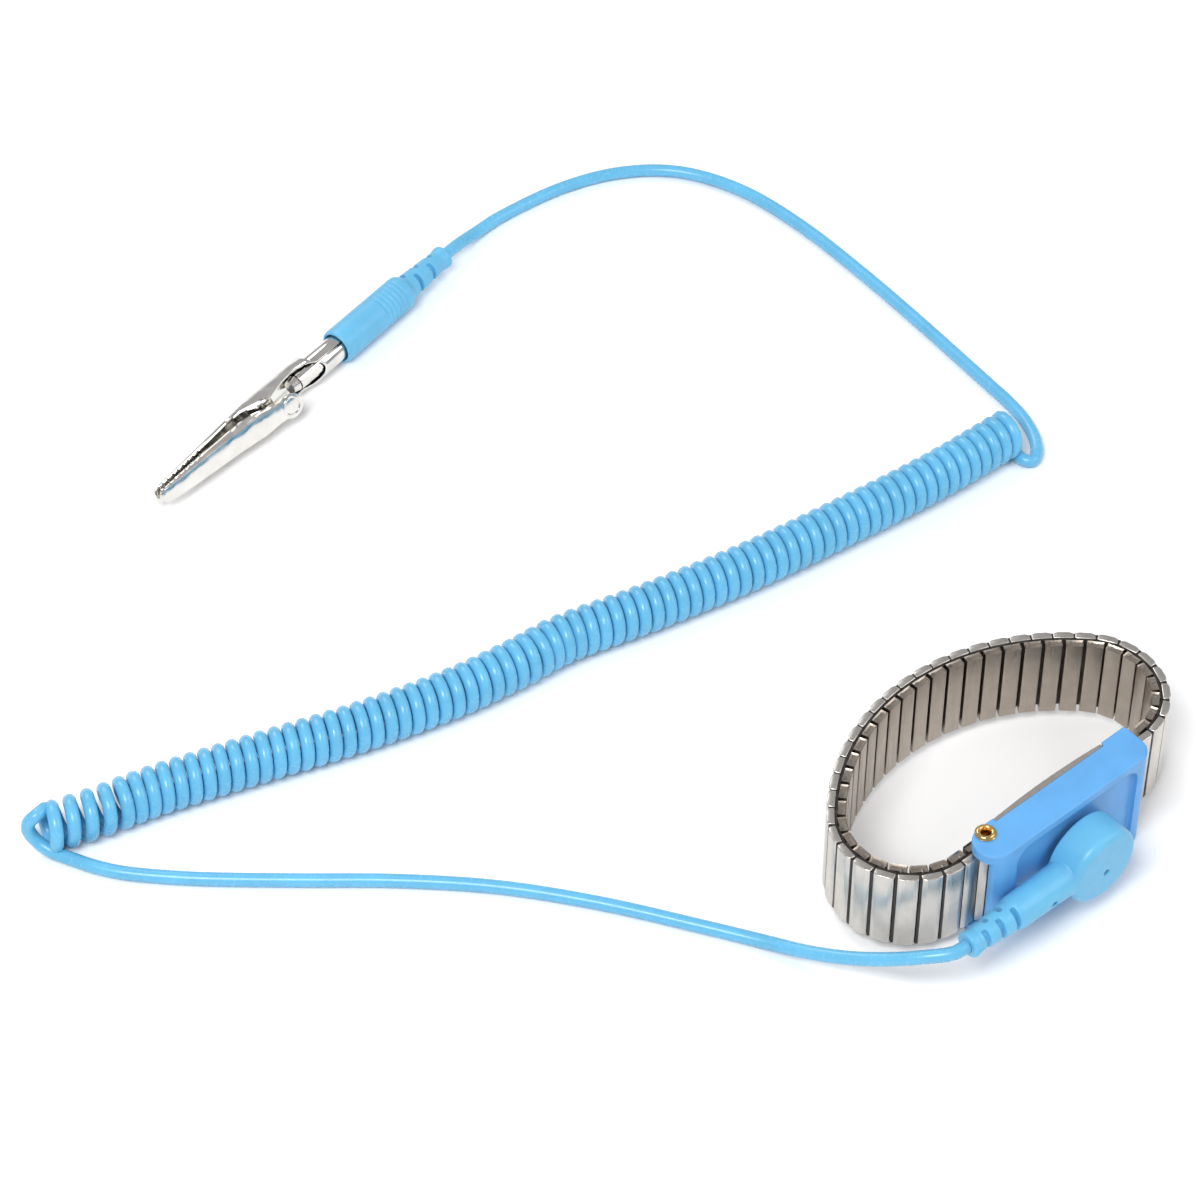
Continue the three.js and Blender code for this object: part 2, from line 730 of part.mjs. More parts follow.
function makeSleeve() {
  const shoulder = 1.6;
  return onAxis(
    [
      [0, -SLEEVE_TAIL],
      [2.6, -SLEEVE_TAIL],
      [2.6, -SLEEVE_TAIL + 1.6],
      [2.35, -SLEEVE_TAIL + 2],
      [2.5, -SLEEVE_LENGTH - shoulder],
      [SLEEVE_RADIUS - 0.3, -SLEEVE_LENGTH],
      [SLEEVE_RADIUS, -SLEEVE_LENGTH + 1],
      [SLEEVE_RADIUS, -0.6],
      [SLEEVE_RADIUS - 0.3, 0],
      [BARREL_RADIUS + GAP, 0],
      [BARREL_RADIUS + GAP, -SLEEVE_MOUTH_DEPTH],
      [PLUG_CORE_RADIUS + GAP, -SLEEVE_MOUTH_DEPTH],
      [PLUG_CORE_RADIUS + GAP, PLUG_BASE - GAP],
      [0, PLUG_BASE - GAP],
    ],
    FINE,
  );
}

putOnPlug("plug_sleeve", makeSleeve(), CORD_BLUE());

function makeBananaPlug() {
  const collar = -SLEEVE_MOUTH_DEPTH + 0.4;
  return onAxis(
    [
      [0, PLUG_BASE],
      [PLUG_CORE_RADIUS, PLUG_BASE],
      [PLUG_CORE_RADIUS, collar],
      [2.0, collar],
      [2.0, collar + 0.9],
      [1.2, collar + 0.9],
      [1.2, PLUG_TIP - 1.6],
      [1.7, PLUG_TIP - 1.6],
      [1.3, PLUG_TIP],
      [0, PLUG_TIP],
    ],
    COARSE,
  );
}

putOnPlug("banana_plug", makeBananaPlug(), NICKEL());

// The lantern spring turns freely round the plug's core and grips the barrel.
function makeLanternSpring() {
  const start = -SLEEVE_MOUTH_DEPTH + 1.6;
  const end = PLUG_TIP - 1.9;
  const middle = (start + end) / 2;
  return ringOnAxis(
    [
      [1.5, start],
      [1.5, end],
      [1.75, end],
      [2.1, middle],
      [1.75, start],
    ].reverse(),
    COARSE,
  );
}

putOnPlug("plug_lantern_spring", makeLanternSpring(), NICKEL());

// Outline of a jaw seen from above, at stations along the clip: the sheet's spine is on the
// outer side and its two folded walls reach in to the line where the jaws meet.
const JAW_HALF_WIDTH = 3.05; // at the pivot
const NOSE_HALF_WIDTH = 1.6; // at the tip
const WIDTH_FROM_U = 22;
const halfWidthAt = (u) => {
  const along = THREE.MathUtils.clamp((u - WIDTH_FROM_U) / (CLIP_TIP - WIDTH_FROM_U), 0, 1);
  return THREE.MathUtils.lerp(JAW_HALF_WIDTH, NOSE_HALF_WIDTH, along);
};

// The wedge that leaves a jaw's width in plan tapering towards the nose.
function widthWedge(from, to, inset) {
  const top = [
    [from, halfWidthAt(from) - inset],
    [WIDTH_FROM_U, halfWidthAt(WIDTH_FROM_U) - inset],
    [to, halfWidthAt(to) - inset],
  ];
  const bottom = top.map(([u, half]) => [u, -half]).reverse();
  const outline = polygon([...bottom.reverse(), ...top.reverse()]);
  const geometry = new THREE.ExtrudeGeometry(outline, { depth: 20, bevelEnabled: false });
  // The wedge is drawn along the clip and across its width, then stood on its side.
  geometry.rotateX(Math.PI / 2).translate(0, 10, 0);
  return toSolid(geometry);
}

// A jaw is its side profile, cut to the tapering width, with its inside cut out as a channel.
function channel(profile, inside, from, to) {
  const outer = prism(polygon(profile), -6, 6).intersect(widthWedge(from, to, 0));
  const hollow = prism(polygon(inside), -6, 6).intersect(widthWedge(from, to, SHEET));
  return outer.subtract(hollow);
}

function makeFixedJaw() {
  const barrel = onAxis(bar(BARREL_RADIUS, -5.5, 9), FINE);
  const slit = box([-10, 12], [1.6, 4], [1.2, 2.6]);
  const jaw = channel(
    [
      [7.5, -2.6],
      [14, -2.45],
      [24, -2.15],
      [38, -1.8],
      [CLIP_TIP, -1.3],
      [CLIP_TIP, -0.7],
      [40, -0.95],
      [37, -0.6],
      [27, -0.4],
      [23.2, 1.9],
      [19.6, 1.9],
      [12, 0.2],
      [7.5, 0.2],
    ],
    [
      [7, -2.05],
      [14, -1.9],
      [24, -1.6],
      [38, -1.35],
      [CLIP_TIP - 2.5, -1.0],
      [CLIP_TIP - 2.5, 4],
      [7, 4],
    ],
    7,
    CLIP_TIP,
  );
  const bore = alongX(turnedGeometry(bar(BARREL_BORE, -6, 9.2), FINE), 0, 0);
  const pivot = alongZ(turnedGeometry(bar(0.75, -6, 6), COARSE), PIVOT_U, PIVOT_V);
  return cut(joined(barrel, jaw), slit, bore, pivot);
}

putOnClip("clip_fixed_jaw", makeFixedJaw(), NICKEL());

// The moving jaw's walls stand inside the fixed jaw's at the pivot; its tail is a thumb pad.
function makeMovingJaw() {
  const nose = channel(
    [
      [27, 0.5],
      [30, 0.35],
      [36, 0.1],
      [39, -0.6],
      [CLIP_TIP, -0.35],
      [CLIP_TIP, 0.5],
      [45, 1.8],
      [32, 2.9],
      [24, 4.1],
      [24, 2.4],
    ],
    [
      [20, -1],
      [CLIP_TIP - 2, -1],
      [CLIP_TIP - 2, 0.2],
      [45, 1.3],
      [32, 2.4],
      [20, 4.2],
    ],
    20,
    CLIP_TIP,
  );
  const spine = prism(
    polygon([
      [24.5, 3.5],
      [24.5, 4.05],
      [21.6, 4.55],
      [18.2, 5.35],
      [18.05, 4.85],
      [21.5, 4.0],
    ]),
    -2.7,
    2.7,
  );
  const padTilt = THREE.MathUtils.degToRad(-14);
  const padDisc = turnedGeometry(bar(3.2, -0.25, 0.25), COARSE);
  padDisc.rotateZ(padTilt).translate(18.2, 5.1, 0);
  const ears = prism(
    polygon([
      [25.6, 1.3],
      [25.6, 3.9],
      [21.6, 4.3],
      [20.2, 1.4],
      [20.6, 0],
      [22.4, -0.2],
    ]),
    -2.0,
    2.0,
  );
  const earGap = box([15, 30], [-3, 6], [-1.55, 1.55]);
  const pivot = alongZ(turnedGeometry(bar(0.75, -6, 6), COARSE), PIVOT_U, PIVOT_V);
  return cut(joined(nose, spine, toSolid(padDisc), cut(ears, earGap)), pivot);
}

putOnClip("clip_moving_jaw", makeMovingJaw(), NICKEL());

const rivet = alongZ(
  turnedGeometry(
    [
      [0, -3.35],
      [1.1, -3.35],
      [1.1, -3.1],
      [0.5, -3.0],
      [0.5, 3.0],
      [1.1, 3.1],
      [1.1, 3.35],
      [0, 3.35],
    ],
    COARSE,
  ),
  PIVOT_U,
  PIVOT_V,
);
putOnClip("clip_rivet", rivet, NICKEL());

const clipSpring = alongZ(
  ringGeometry(
    [
      [0.85, -1.3],
      [1.5, -1.3],
      [1.5, 1.3],
      [0.85, 1.3],
    ],
    COARSE,
  ),
  PIVOT_U,
  PIVOT_V,
);
putOnClip("clip_spring", clipSpring, SPRING_STEEL());

export default strap;
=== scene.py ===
"""Looks of an anti-static wrist strap: expansion band, housing, curly cord, plug and clip.

Everything stands in the frame of the CAD part, in metres, +Z up. Pieces with fine edges are
modelled in millimetres and brought to metres once they are finished.
"""

import math

import bpy
from bpy.props import FloatProperty, FloatVectorProperty, IntProperty, PointerProperty
from mathutils import Matrix, Vector


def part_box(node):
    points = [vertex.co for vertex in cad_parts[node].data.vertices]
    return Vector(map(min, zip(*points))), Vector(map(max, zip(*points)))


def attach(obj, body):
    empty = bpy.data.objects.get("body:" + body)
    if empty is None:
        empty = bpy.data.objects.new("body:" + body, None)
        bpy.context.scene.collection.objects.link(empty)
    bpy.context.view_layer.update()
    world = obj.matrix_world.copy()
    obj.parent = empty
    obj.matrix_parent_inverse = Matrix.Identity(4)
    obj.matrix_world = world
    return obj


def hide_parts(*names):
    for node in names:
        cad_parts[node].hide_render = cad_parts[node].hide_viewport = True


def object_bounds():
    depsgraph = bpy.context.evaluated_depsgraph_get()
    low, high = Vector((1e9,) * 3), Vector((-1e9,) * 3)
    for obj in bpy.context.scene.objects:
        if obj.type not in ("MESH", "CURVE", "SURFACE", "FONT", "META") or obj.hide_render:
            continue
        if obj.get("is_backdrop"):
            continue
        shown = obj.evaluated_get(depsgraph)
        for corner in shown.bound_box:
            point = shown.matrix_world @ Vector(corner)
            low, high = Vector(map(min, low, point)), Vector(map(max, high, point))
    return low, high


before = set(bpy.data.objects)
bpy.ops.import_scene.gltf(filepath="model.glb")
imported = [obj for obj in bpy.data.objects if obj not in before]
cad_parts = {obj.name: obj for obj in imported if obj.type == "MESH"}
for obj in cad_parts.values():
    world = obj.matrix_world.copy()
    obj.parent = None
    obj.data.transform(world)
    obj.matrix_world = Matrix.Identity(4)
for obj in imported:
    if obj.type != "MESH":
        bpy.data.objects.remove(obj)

bl_info = {
    "name": "Wrist strap looks",
    "version": (1, 0, 0),
    "blender": (4, 5, 0),
    "location": "View3D > Sidebar > Wrist strap",
    "description": "Builds the visible pieces of an anti-static wrist strap",
    "category": "Object",
}

CAD_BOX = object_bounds()
MM = 0.001

# ---- places, in millimetres, taken from the frame ---------------------------------------


def box_mm(node):
    """Lowest and highest corner of a CAD node, in millimetres."""
    low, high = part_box(node)
    return Vector(low) / MM, Vector(high) / MM


HOUSING_LOW, HOUSING_HIGH = box_mm("housing")
CAP_LOW, CAP_HIGH = box_mm("snap_cap")
EYELET_LOW, EYELET_HIGH = box_mm("brass_eyelet_pin")
PLATE_LOW, PLATE_HIGH = box_mm("back_plate")
SOCKET_LOW, SOCKET_HIGH = box_mm("snap_socket")
HOUSING_MID = (HOUSING_LOW + HOUSING_HIGH) / 2
MID_HEIGHT = HOUSING_MID.z
SNAP_X = ((SOCKET_LOW + SOCKET_HIGH) / 2).x
CAP_RADIUS = (CAP_HIGH.z - CAP_LOW.z) / 2
ARM_Y = -21.0
PLUG_MOUTH = Vector((-13.8, 170.7, 3.8))
PLUG_HEADING = math.radians(-168.3)
CLIP_ROLL = math.radians(20)
PIVOT = Vector((21.5, 1.0, 0))

# Cap and arm, stations counted outwards from the band's middle.
CAP_EDGE = 1.4
POCKET_RADIUS = 5.3
POCKET_FRONT = 22.7
PINHOLE_RADIUS = 0.62
PINHOLE_BOTTOM = 23.0
REACH = 5  # how far a cutting tool stands out of what it cuts

# Housing.
HOUSING_WALL = 2.2
HOUSING_CORNER = 3.0
EAR_LENGTH = 1.3  # the top and bottom walls run on past the front wall
PANEL_RIM = 1.8
PANEL_LEFT_RIM = 5.0
PANEL_RIGHT_RIM = 3.7
PANEL_CORNER = 3.2
PANEL_RECESS = 0.9

# The plug's own axes: X from the sleeve's mouth to the clip's tip, Y to the jaw that opens.
PLUG_FRAME = Matrix.Translation(PLUG_MOUTH) @ Matrix.Rotation(PLUG_HEADING, 4, "Z")
CLIP_FRAME = PLUG_FRAME @ Matrix.Rotation(CLIP_ROLL, 4, "X")
ALONG_X = Matrix.Rotation(math.radians(90), 4, "Y")
ALONG_MINUS_X = Matrix.Rotation(math.radians(-90), 4, "Y")
ALONG_MINUS_Y = Matrix.Rotation(math.radians(90), 4, "X")

# ---- the cord's route, in metres ----------------------------------------------------------

NEAR_ROUTE = [
    (-0.0289, -0.0210, 0.0115),
    (-0.0320, -0.0204, 0.0114),
    (-0.0355, -0.0173, 0.0104),
    (-0.0390, -0.0126, 0.0082),
    (-0.0422, -0.0066, 0.0054),
    (-0.0454, 0.0004, 0.0030),
    (-0.0490, 0.0082, 0.0016),
    (-0.0545, 0.0175, 0.0013),
    (-0.0645, 0.0330, 0.0013),
    (-0.0755, 0.0473, 0.0013),
    (-0.0880, 0.0600, 0.0013),
    (-0.1010, 0.0714, 0.0013),
    (-0.1135, 0.0826, 0.0013),
    (-0.1217, 0.0910, 0.0013),
    (-0.1256, 0.0962, 0.0013),
    (-0.1281, 0.1010, 0.0013),
    (-0.1300, 0.1050, 0.0015),
    (-0.1311, 0.1078, 0.0028),
    (-0.1316, 0.1091, 0.0048),
    (-0.1312, 0.1091, 0.0067),
    (-0.1299, 0.1086, 0.0079),
]
COIL_ROUTE = [
    (-0.1284, 0.1071, 0.0048),
    (-0.1195, 0.1044, 0.0048),
    (-0.1090, 0.1018, 0.0048),
    (-0.0910, 0.0960, 0.0048),
    (-0.0730, 0.0900, 0.0048),
    (-0.0550, 0.0853, 0.0048),
    (-0.0410, 0.0832, 0.0048),
    (-0.0305, 0.0822, 0.0048),
    (-0.0140, 0.0780, 0.0048),
    (0.0070, 0.0736, 0.0048),
    (0.0290, 0.0704, 0.0048),
    (0.0500, 0.0680, 0.0048),
    (0.0691, 0.0671, 0.0048),
]
FAR_ROUTE = [
    (0.0682, 0.0642, 0.0013),
    (0.0682, 0.0622, 0.0013),
    (0.0695, 0.0611, 0.0013),
    (0.0720, 0.0627, 0.0013),
    (0.0743, 0.0660, 0.0013),
    (0.0761, 0.0706, 0.0013),
    (0.0771, 0.0760, 0.0013),
    (0.0776, 0.0812, 0.0013),
    (0.0783, 0.0885, 0.0013),
    (0.0797, 0.1040, 0.0013),
    (0.0809, 0.1220, 0.0013),
    (0.0812, 0.1395, 0.0013),
    (0.0793, 0.1552, 0.0013),
    (0.0736, 0.1676, 0.0013),
    (0.0642, 0.1755, 0.0013),
    (0.0520, 0.1798, 0.0013),
    (0.0380, 0.1812, 0.0013),
    (0.0300, 0.1804, 0.0018),
    (0.0244, 0.1790, 0.0030),
    (0.0192, 0.1776, 0.0038),
]


class StrapSizes(bpy.types.PropertyGroup):
    """Sizes that a maker might change."""

    cord_length: FloatProperty(
        name="Cord length",
        description="Length of the whole cord, its coil included",
        default=2.05,
        unit="LENGTH",
    )
    cord_diameter: FloatProperty(
        name="Cord diameter",
        description="Outside diameter of the cord's jacket",
        default=0.0025,
        unit="LENGTH",
    )
    coil_radius: FloatProperty(
        name="Coil radius",
        description="Radius of the curly part, to the middle of the cord",
        default=0.00352,
        unit="LENGTH",
    )
    coil_turns: IntProperty(
        name="Coil turns",
        description="Full turns in the curly part",
        default=76,
        min=1,
    )
    shell_gap: FloatProperty(
        name="Shell gap",
        description="Air between neighbouring shells of the band, in millimetres",
        default=0.14,
    )


class StrapColours(bpy.types.PropertyGroup):
    """Colours that a maker might change."""

    cord: FloatVectorProperty(
        name="Cord colour",
        description="Jacket, cap and plug sleeve",
        default=(0.130, 0.455, 0.710),
        subtype="COLOR",
    )
    housing: FloatVectorProperty(
        name="Housing colour",
        description="Moulded housing",
        default=(0.114, 0.366, 0.720),
        subtype="COLOR",
    )
    steel: FloatVectorProperty(
        name="Steel colour",
        description="Outer shells of the band",
        default=(0.60, 0.57, 0.53),
        subtype="COLOR",
    )
    inner_steel: FloatVectorProperty(
        name="Inner steel colour",
        description="Shells that face the wrist",
        default=(0.39, 0.34, 0.29),
        subtype="COLOR",
    )


def sizes():
    return bpy.context.scene.strap_sizes


def colours():
    return bpy.context.scene.strap_colours


# ---- modelling helpers --------------------------------------------------------------------


def select_only(*objects):
    bpy.ops.object.select_all(action="DESELECT")
    for item in objects:
        item.select_set(True)
    bpy.context.view_layer.objects.active = objects[0]


def modify(item, kind, **settings):
    """Adds one modifier and applies it."""
    select_only(item)
    modifier = item.modifiers.new(kind.title(), kind)
    for key, value in settings.items():
        setattr(modifier, key, value)
    bpy.ops.object.modifier_apply(modifier=modifier.name)
    return item


def new_object(name, points, edges=(), faces=()):
    mesh = bpy.data.meshes.new(name)
    mesh.from_pydata(points, edges, faces)
    item = bpy.data.objects.new(name, mesh)
    bpy.context.collection.objects.link(item)
    return item


def in_edit_mode(item, *steps):
    """Runs edit-mode steps on the whole mesh."""
    select_only(item)
    bpy.ops.object.mode_set(mode="EDIT")
    bpy.ops.mesh.select_all(action="SELECT")
    for step in steps:
        step()
    bpy.ops.mesh.select_all(action="SELECT")
    bpy.ops.mesh.remove_doubles(threshold=1e-4)
    bpy.ops.mesh.normals_make_consistent(inside=False)
    bpy.ops.object.mode_set(mode="OBJECT")
    return item


def turned(name, profile, sides=64, closed=False):
    """Spins a half-section of (radius, height) pairs round Z, in millimetres."""
    points = [(radius, 0, height) for radius, height in profile]
    edges = [(i, i + 1) for i in range(len(points) - 1)]
    if closed:
        edges.append((len(points) - 1, 0))
    item = new_object(name, points, edges)
    spin = lambda: bpy.ops.mesh.spin(
        steps=sides, angle=2 * math.pi, center=(0, 0, 0), axis=(0, 0, 1)
    )
    return in_edit_mode(item, spin)


def bar(name, radius, low, high, sides=64):
    """A plain round bar along Z."""
    return turned(name, [(0, low), (radius, low), (radius, high), (0, high)], sides)


def raised(name, outline, low, high):
    """A flat outline of (x, y) points raised along Z from low to high."""
    points = [(x, y, low) for x, y in outline]
    item = new_object(name, points, (), [list(range(len(points)))])
    lift = lambda: bpy.ops.mesh.extrude_region_move(
        TRANSFORM_OT_translate={"value": (0, 0, high - low)}
    )
    return in_edit_mode(item, lift)


def block(name, low, high):
    """A rectangular block between two corners."""
    outline = [(low[0], low[1]), (high[0], low[1]), (high[0], high[1]), (low[0], high[1])]
    return raised(name, outline, low[2], high[2])


def moved(item, matrix):
    """Places the mesh itself, so that the object stays at the origin."""
    item.data.transform(matrix)
    if matrix.determinant() < 0:
        item.data.flip_normals()
    return item


def combine(kind, item, *tools):
    """Joins, cuts or intersects solids, and removes the tools."""
    for tool in tools:
        modify(item, "BOOLEAN", operation=kind, solver="EXACT", object=tool)
        bpy.data.objects.remove(tool)
    return item


def joined(name, *items):
    """Several meshes as one object, each face keeping its material."""
    select_only(*items)
    bpy.ops.object.join()
    item = bpy.context.view_layer.objects.active
    item.name = name
    return item


def moulded(item, voxel, passes):
    """Merges overlapping solids into one skin and rounds every edge a little."""
    modify(item, "REMESH", mode="VOXEL", voxel_size=voxel, use_smooth_shade=True)
    modify(item, "SMOOTH", factor=0.5, iterations=passes)
    return item


def rounded(item, width, segments=3, angle=30):
    """Rounds the sharp edges."""
    modify(
        item,
        "BEVEL",
        width=width,
        segments=segments,
        limit_method="ANGLE",
        angle_limit=math.radians(angle),
        miter_outer="MITER_ARC",
    )
    select_only(item)
    bpy.ops.object.shade_smooth_by_angle(angle=math.radians(35))
    return item


def arc(centre, radius, start, end, count=12):
    """Points on an arc, angles in degrees."""
    turns = [math.radians(start + (end - start) * i / count) for i in range(count + 1)]
    return [
        (centre[0] + radius * math.cos(turn), centre[1] + radius * math.sin(turn))
        for turn in turns
    ]


def finish_piece(item, name, body, slot, nodes, *materials):
    """Brings a millimetre model to metres and ties it to its CAD nodes."""
    moved(item, Matrix.Scale(MM, 4))
    item.name = name
    if materials:
        item.data.materials.clear()
        for material in materials:
            item.data.materials.append(material)
    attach(item, body)
    if nodes:
        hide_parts(*nodes)
    return item


# ---- materials ----------------------------------------------------------------------------


def new_material(name, colour, roughness, metallic):
    """A Principled material, with its nodes and links ready."""
    material = bpy.data.materials.new(name)
    material.use_nodes = True
    nodes = material.node_tree.nodes
    shader = nodes["Principled BSDF"]
    shader.inputs["Base Color"].default_value = (*colour, 1)
    shader.inputs["Roughness"].default_value = roughness
    shader.inputs["Metallic"].default_value = metallic
    return material, nodes, material.node_tree.links, shader


def noise(nodes, links, scale, detail=3.0, stretch=(1, 1, 1)):
    """A noise pattern on object coordinates; scale is in patches a metre."""
    place = nodes.new("ShaderNodeTexCoord")
    mapping = nodes.new("ShaderNodeMapping")
    mapping.inputs["Scale"].default_value = stretch
    pattern = nodes.new("ShaderNodeTexNoise")
    pattern.inputs["Scale"].default_value = scale
    pattern.inputs["Detail"].default_value = detail
    links.new(place.outputs["Object"], mapping.inputs["Vector"])
    links.new(mapping.outputs["Vector"], pattern.inputs["Vector"])
    return pattern.outputs["Fac"]


def spread(nodes, links, value, low, high, start=0.3, end=0.7):
    """Maps a pattern's middle range to low..high."""
    node = nodes.new("ShaderNodeMapRange")
    node.inputs["From Min"].default_value = start
    node.inputs["From Max"].default_value = end
    node.inputs["To Min"].default_value = low
    node.inputs["To Max"].default_value = high
    links.new(value, node.inputs["Value"])
    return node.outputs["Result"]


def shade_colour(nodes, links, shader, value, dark, light):
    """Mixes two colours by a pattern."""
    mix = nodes.new("ShaderNodeMix")
    mix.data_type = "RGBA"
    mix.inputs["A"].default_value = (*dark, 1)
    mix.inputs["B"].default_value = (*light, 1)
    links.new(value, mix.inputs["Factor"])
    links.new(mix.outputs["Result"], shader.inputs["Base Color"])


def bump(nodes, links, shader, value, strength, distance):
    """A fine relief; distance is in metres."""
    node = nodes.new("ShaderNodeBump")
    node.inputs["Strength"].default_value = strength
    node.inputs["Distance"].default_value = distance
    links.new(value, node.inputs["Height"])
    links.new(node.outputs["Normal"], shader.inputs["Normal"])


def tinted(colour, factor):
    return tuple(min(1.0, channel * factor) for channel in colour)


def soft_plastic(name, colour, roughness, grain=900):
    """Moulded plastic with faint flow marks and a fine surface."""
    material, nodes, links, shader = new_material(name, colour, roughness, 0)
    flow = noise(nodes, links, 160)
    shade_colour(
        nodes, links, shader, spread(nodes, links, flow, 0, 1), tinted(colour, 0.93), tinted(colour, 1.05)
    )
    fine = noise(nodes, links, grain, 4)
    links.new(
        spread(nodes, links, fine, roughness - 0.05, roughness + 0.07),
        shader.inputs["Roughness"],
    )
    bump(nodes, links, shader, fine, 0.12, 0.00002)
    shader.inputs["IOR"].default_value = 1.48
    shader.inputs["Subsurface Weight"].default_value = 0.04
    shader.inputs["Subsurface Radius"].default_value = (0.2, 0.5, 1.0)
    shader.inputs["Subsurface Scale"].default_value = 0.0008
    return material


def rolled_steel(name, colour, low, high, grain=(2500, 2500, 60)):
    """Steel with a fine grain that runs up the band, and small rubbed patches."""
    material, nodes, links, shader = new_material(name, colour, low, 1)
    lines = noise(nodes, links, 1, 3, grain)
    patches = noise(nodes, links, 420, 2)
    shade_colour(
        nodes,
        links,
        shader,
        spread(nodes, links, patches, 0, 1),
        tinted(colour, 0.94),
        tinted(colour, 1.04),
    )
    links.new(spread(nodes, links, lines, low, high), shader.inputs["Roughness"])
    bump(nodes, links, shader, lines, 0.08, 0.00001)
    return material


def bright_plate(name, colour, roughness):
    """Bright plating, a little cloudy, with fine handling marks."""
    material, nodes, links, shader = new_material(name, colour, roughness, 1)
    clouds = noise(nodes, links, 350, 3)
    marks = noise(nodes, links, 2600, 5)
    shade_colour(
        nodes,
        links,
        shader,
        spread(nodes, links, clouds, 0, 1),
        tinted(colour, 0.9),
        tinted(colour, 1.04),
    )
    links.new(
        spread(nodes, links, clouds, roughness * 0.7, roughness * 1.6),
        shader.inputs["Roughness"],
    )
    bump(nodes, links, shader, marks, 0.12, 0.00002)
    return material


def resistor_lacquer():
    """Tan lacquer, with a tiny grain."""
    material, nodes, links, shader = new_material("resistor_lacquer", (0.64, 0.45, 0.26), 0.4, 0)
    grain = noise(nodes, links, 1500, 4)
    bump(nodes, links, shader, grain, 0.3, 0.00003)
    links.new(spread(nodes, links, grain, 0.35, 0.5), shader.inputs["Roughness"])
    return material


FINISHES = {}


def finish_named(name):
    """The strap's finishes, each made once."""
    makers = {
        "cord_jacket": lambda: soft_plastic("cord_jacket", colours().cord, 0.24),
        "cap_plastic": lambda: soft_plastic("cap_plastic", colours().cord, 0.36, 1400),
        "housing_plastic": lambda: soft_plastic("housing_plastic", colours().housing, 0.4, 1400),
        "outer_steel": lambda: rolled_steel("outer_steel", colours().steel, 0.26, 0.40),
        "inner_steel": lambda: rolled_steel("inner_steel", colours().inner_steel, 0.24, 0.42),
        # Near-black plating on the leaf spring: painted shade for the gaps between the outer shells.
        "leaf_steel": lambda: bright_plate("leaf_steel", (0.07, 0.065, 0.06), 0.45),
        "staple_steel": lambda: bright_plate("staple_steel", (0.3, 0.29, 0.28), 0.3),
        "nickel": lambda: bright_plate("nickel", (0.80, 0.78, 0.74), 0.12),
        "spring_steel": lambda: bright_plate("spring_steel", (0.42, 0.41, 0.40), 0.3),
        "brass": lambda: bright_plate("brass", (0.80, 0.53, 0.20), 0.18),
        "resistor_lacquer": resistor_lacquer,
    }
    if name not in FINISHES:
        FINISHES[name] = makers[name]()
    return FINISHES[name]


def paint_node(node, finish):
    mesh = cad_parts[node].data
    mesh.materials.clear()
    mesh.materials.append(finish_named(finish))


# ---- cord ---------------------------------------------------------------------------------


def curve_through(points, steps):
    """A smooth curve through the points, with so many steps between neighbours."""
    knots = [Vector(point) for point in points]
    knots = [2 * knots[0] - knots[1], *knots, 2 * knots[-1] - knots[-2]]
    path = []
    for i in range(1, len(knots) - 2):
        a, b, c, d = knots[i - 1 : i + 3]
        for step in range(steps):
            t = step / steps
            path.append(
                0.5
                * (
                    2 * b
                    + (c - a) * t
                    + (2 * a - 5 * b + 4 * c - d) * t**2
                    + (3 * b - a - 3 * c + d) * t**3
                )
            )
    path.append(knots[-2])
    return path


def along(path, distance, runs):
    """The point and heading at a distance along a path with known running lengths."""
    for i in range(1, len(path)):
        if runs[i] >= distance or i == len(path) - 1:
            share = (distance - runs[i - 1]) / (runs[i] - runs[i - 1])
            return path[i - 1].lerp(path[i], share), (path[i] - path[i - 1]).normalized()


# The coil's first turn is square to it, and the next few lie further apart.
FLAT_TURN, LOOSE_TURNS, SLACK = 0.6, 4, 0.0026


def helix_round(route, radius, turns, start, end, steps):
    """A left-handed helix round a level route, from one angle to another."""
    centre = curve_through(route, 24)
    runs = [0.0]
    for a, b in zip(centre, centre[1:]):
        runs.append(runs[-1] + (b - a).length)
    sweep = 2 * math.pi * turns + math.radians(end - start)
    count = round(steps * sweep / (2 * math.pi))
    up = Vector((0, 0, 1))
    path = []
    for i in range(count + 1):
        share = i / count
        wound = max(share * turns - FLAT_TURN, 0)
        eased = min(wound / LOOSE_TURNS, 1)
        distance = wound / (turns - FLAT_TURN) * (runs[-1] - SLACK) + eased * SLACK
        middle, heading = along(centre, distance, runs)
        side = heading.cross(up).normalized()
        turn = math.radians(start) + sweep * share
        path.append(middle + radius * (math.cos(turn) * side + math.sin(turn) * up))
    return path


def cord_path():
    steps = 6
    coil = helix_round(COIL_ROUTE, sizes().coil_radius, sizes().coil_turns, 130, 270, 16)
    near = curve_through([*NEAR_ROUTE, coil[0], coil[1]], steps)
    far = curve_through([coil[-2], coil[-1], *FAR_ROUTE], steps)
    return near[: -steps - 1] + coil + far[steps + 1 :]


class STRAP_OT_cord(bpy.types.Operator):
    """Draws the cord from the cap, through its curly part, to the plug"""

    bl_idname = "strap.cord"
    bl_label = "Cord"

    def execute(self, context):
        path = cord_path()
        data = bpy.data.curves.new("cord", "CURVE")
        data.dimensions = "3D"
        data.twist_mode = "MINIMUM"
        data.bevel_depth = sizes().cord_diameter / 2
        data.bevel_resolution = 4
        data.use_fill_caps = True
        spline = data.splines.new("POLY")
        spline.points.add(len(path) - 1)
        for point, place in zip(spline.points, path):
            point.co = (*place, 1)
        cord = bpy.data.objects.new("cord", data)
        bpy.context.collection.objects.link(cord)
        data.materials.append(finish_named("cord_jacket"))
        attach(cord, "cord_set")
        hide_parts("cord_tail_near", "cord_coil", "cord_tail_far")
        return {"FINISHED"}


# ---- plastic mouldings --------------------------------------------------------------------


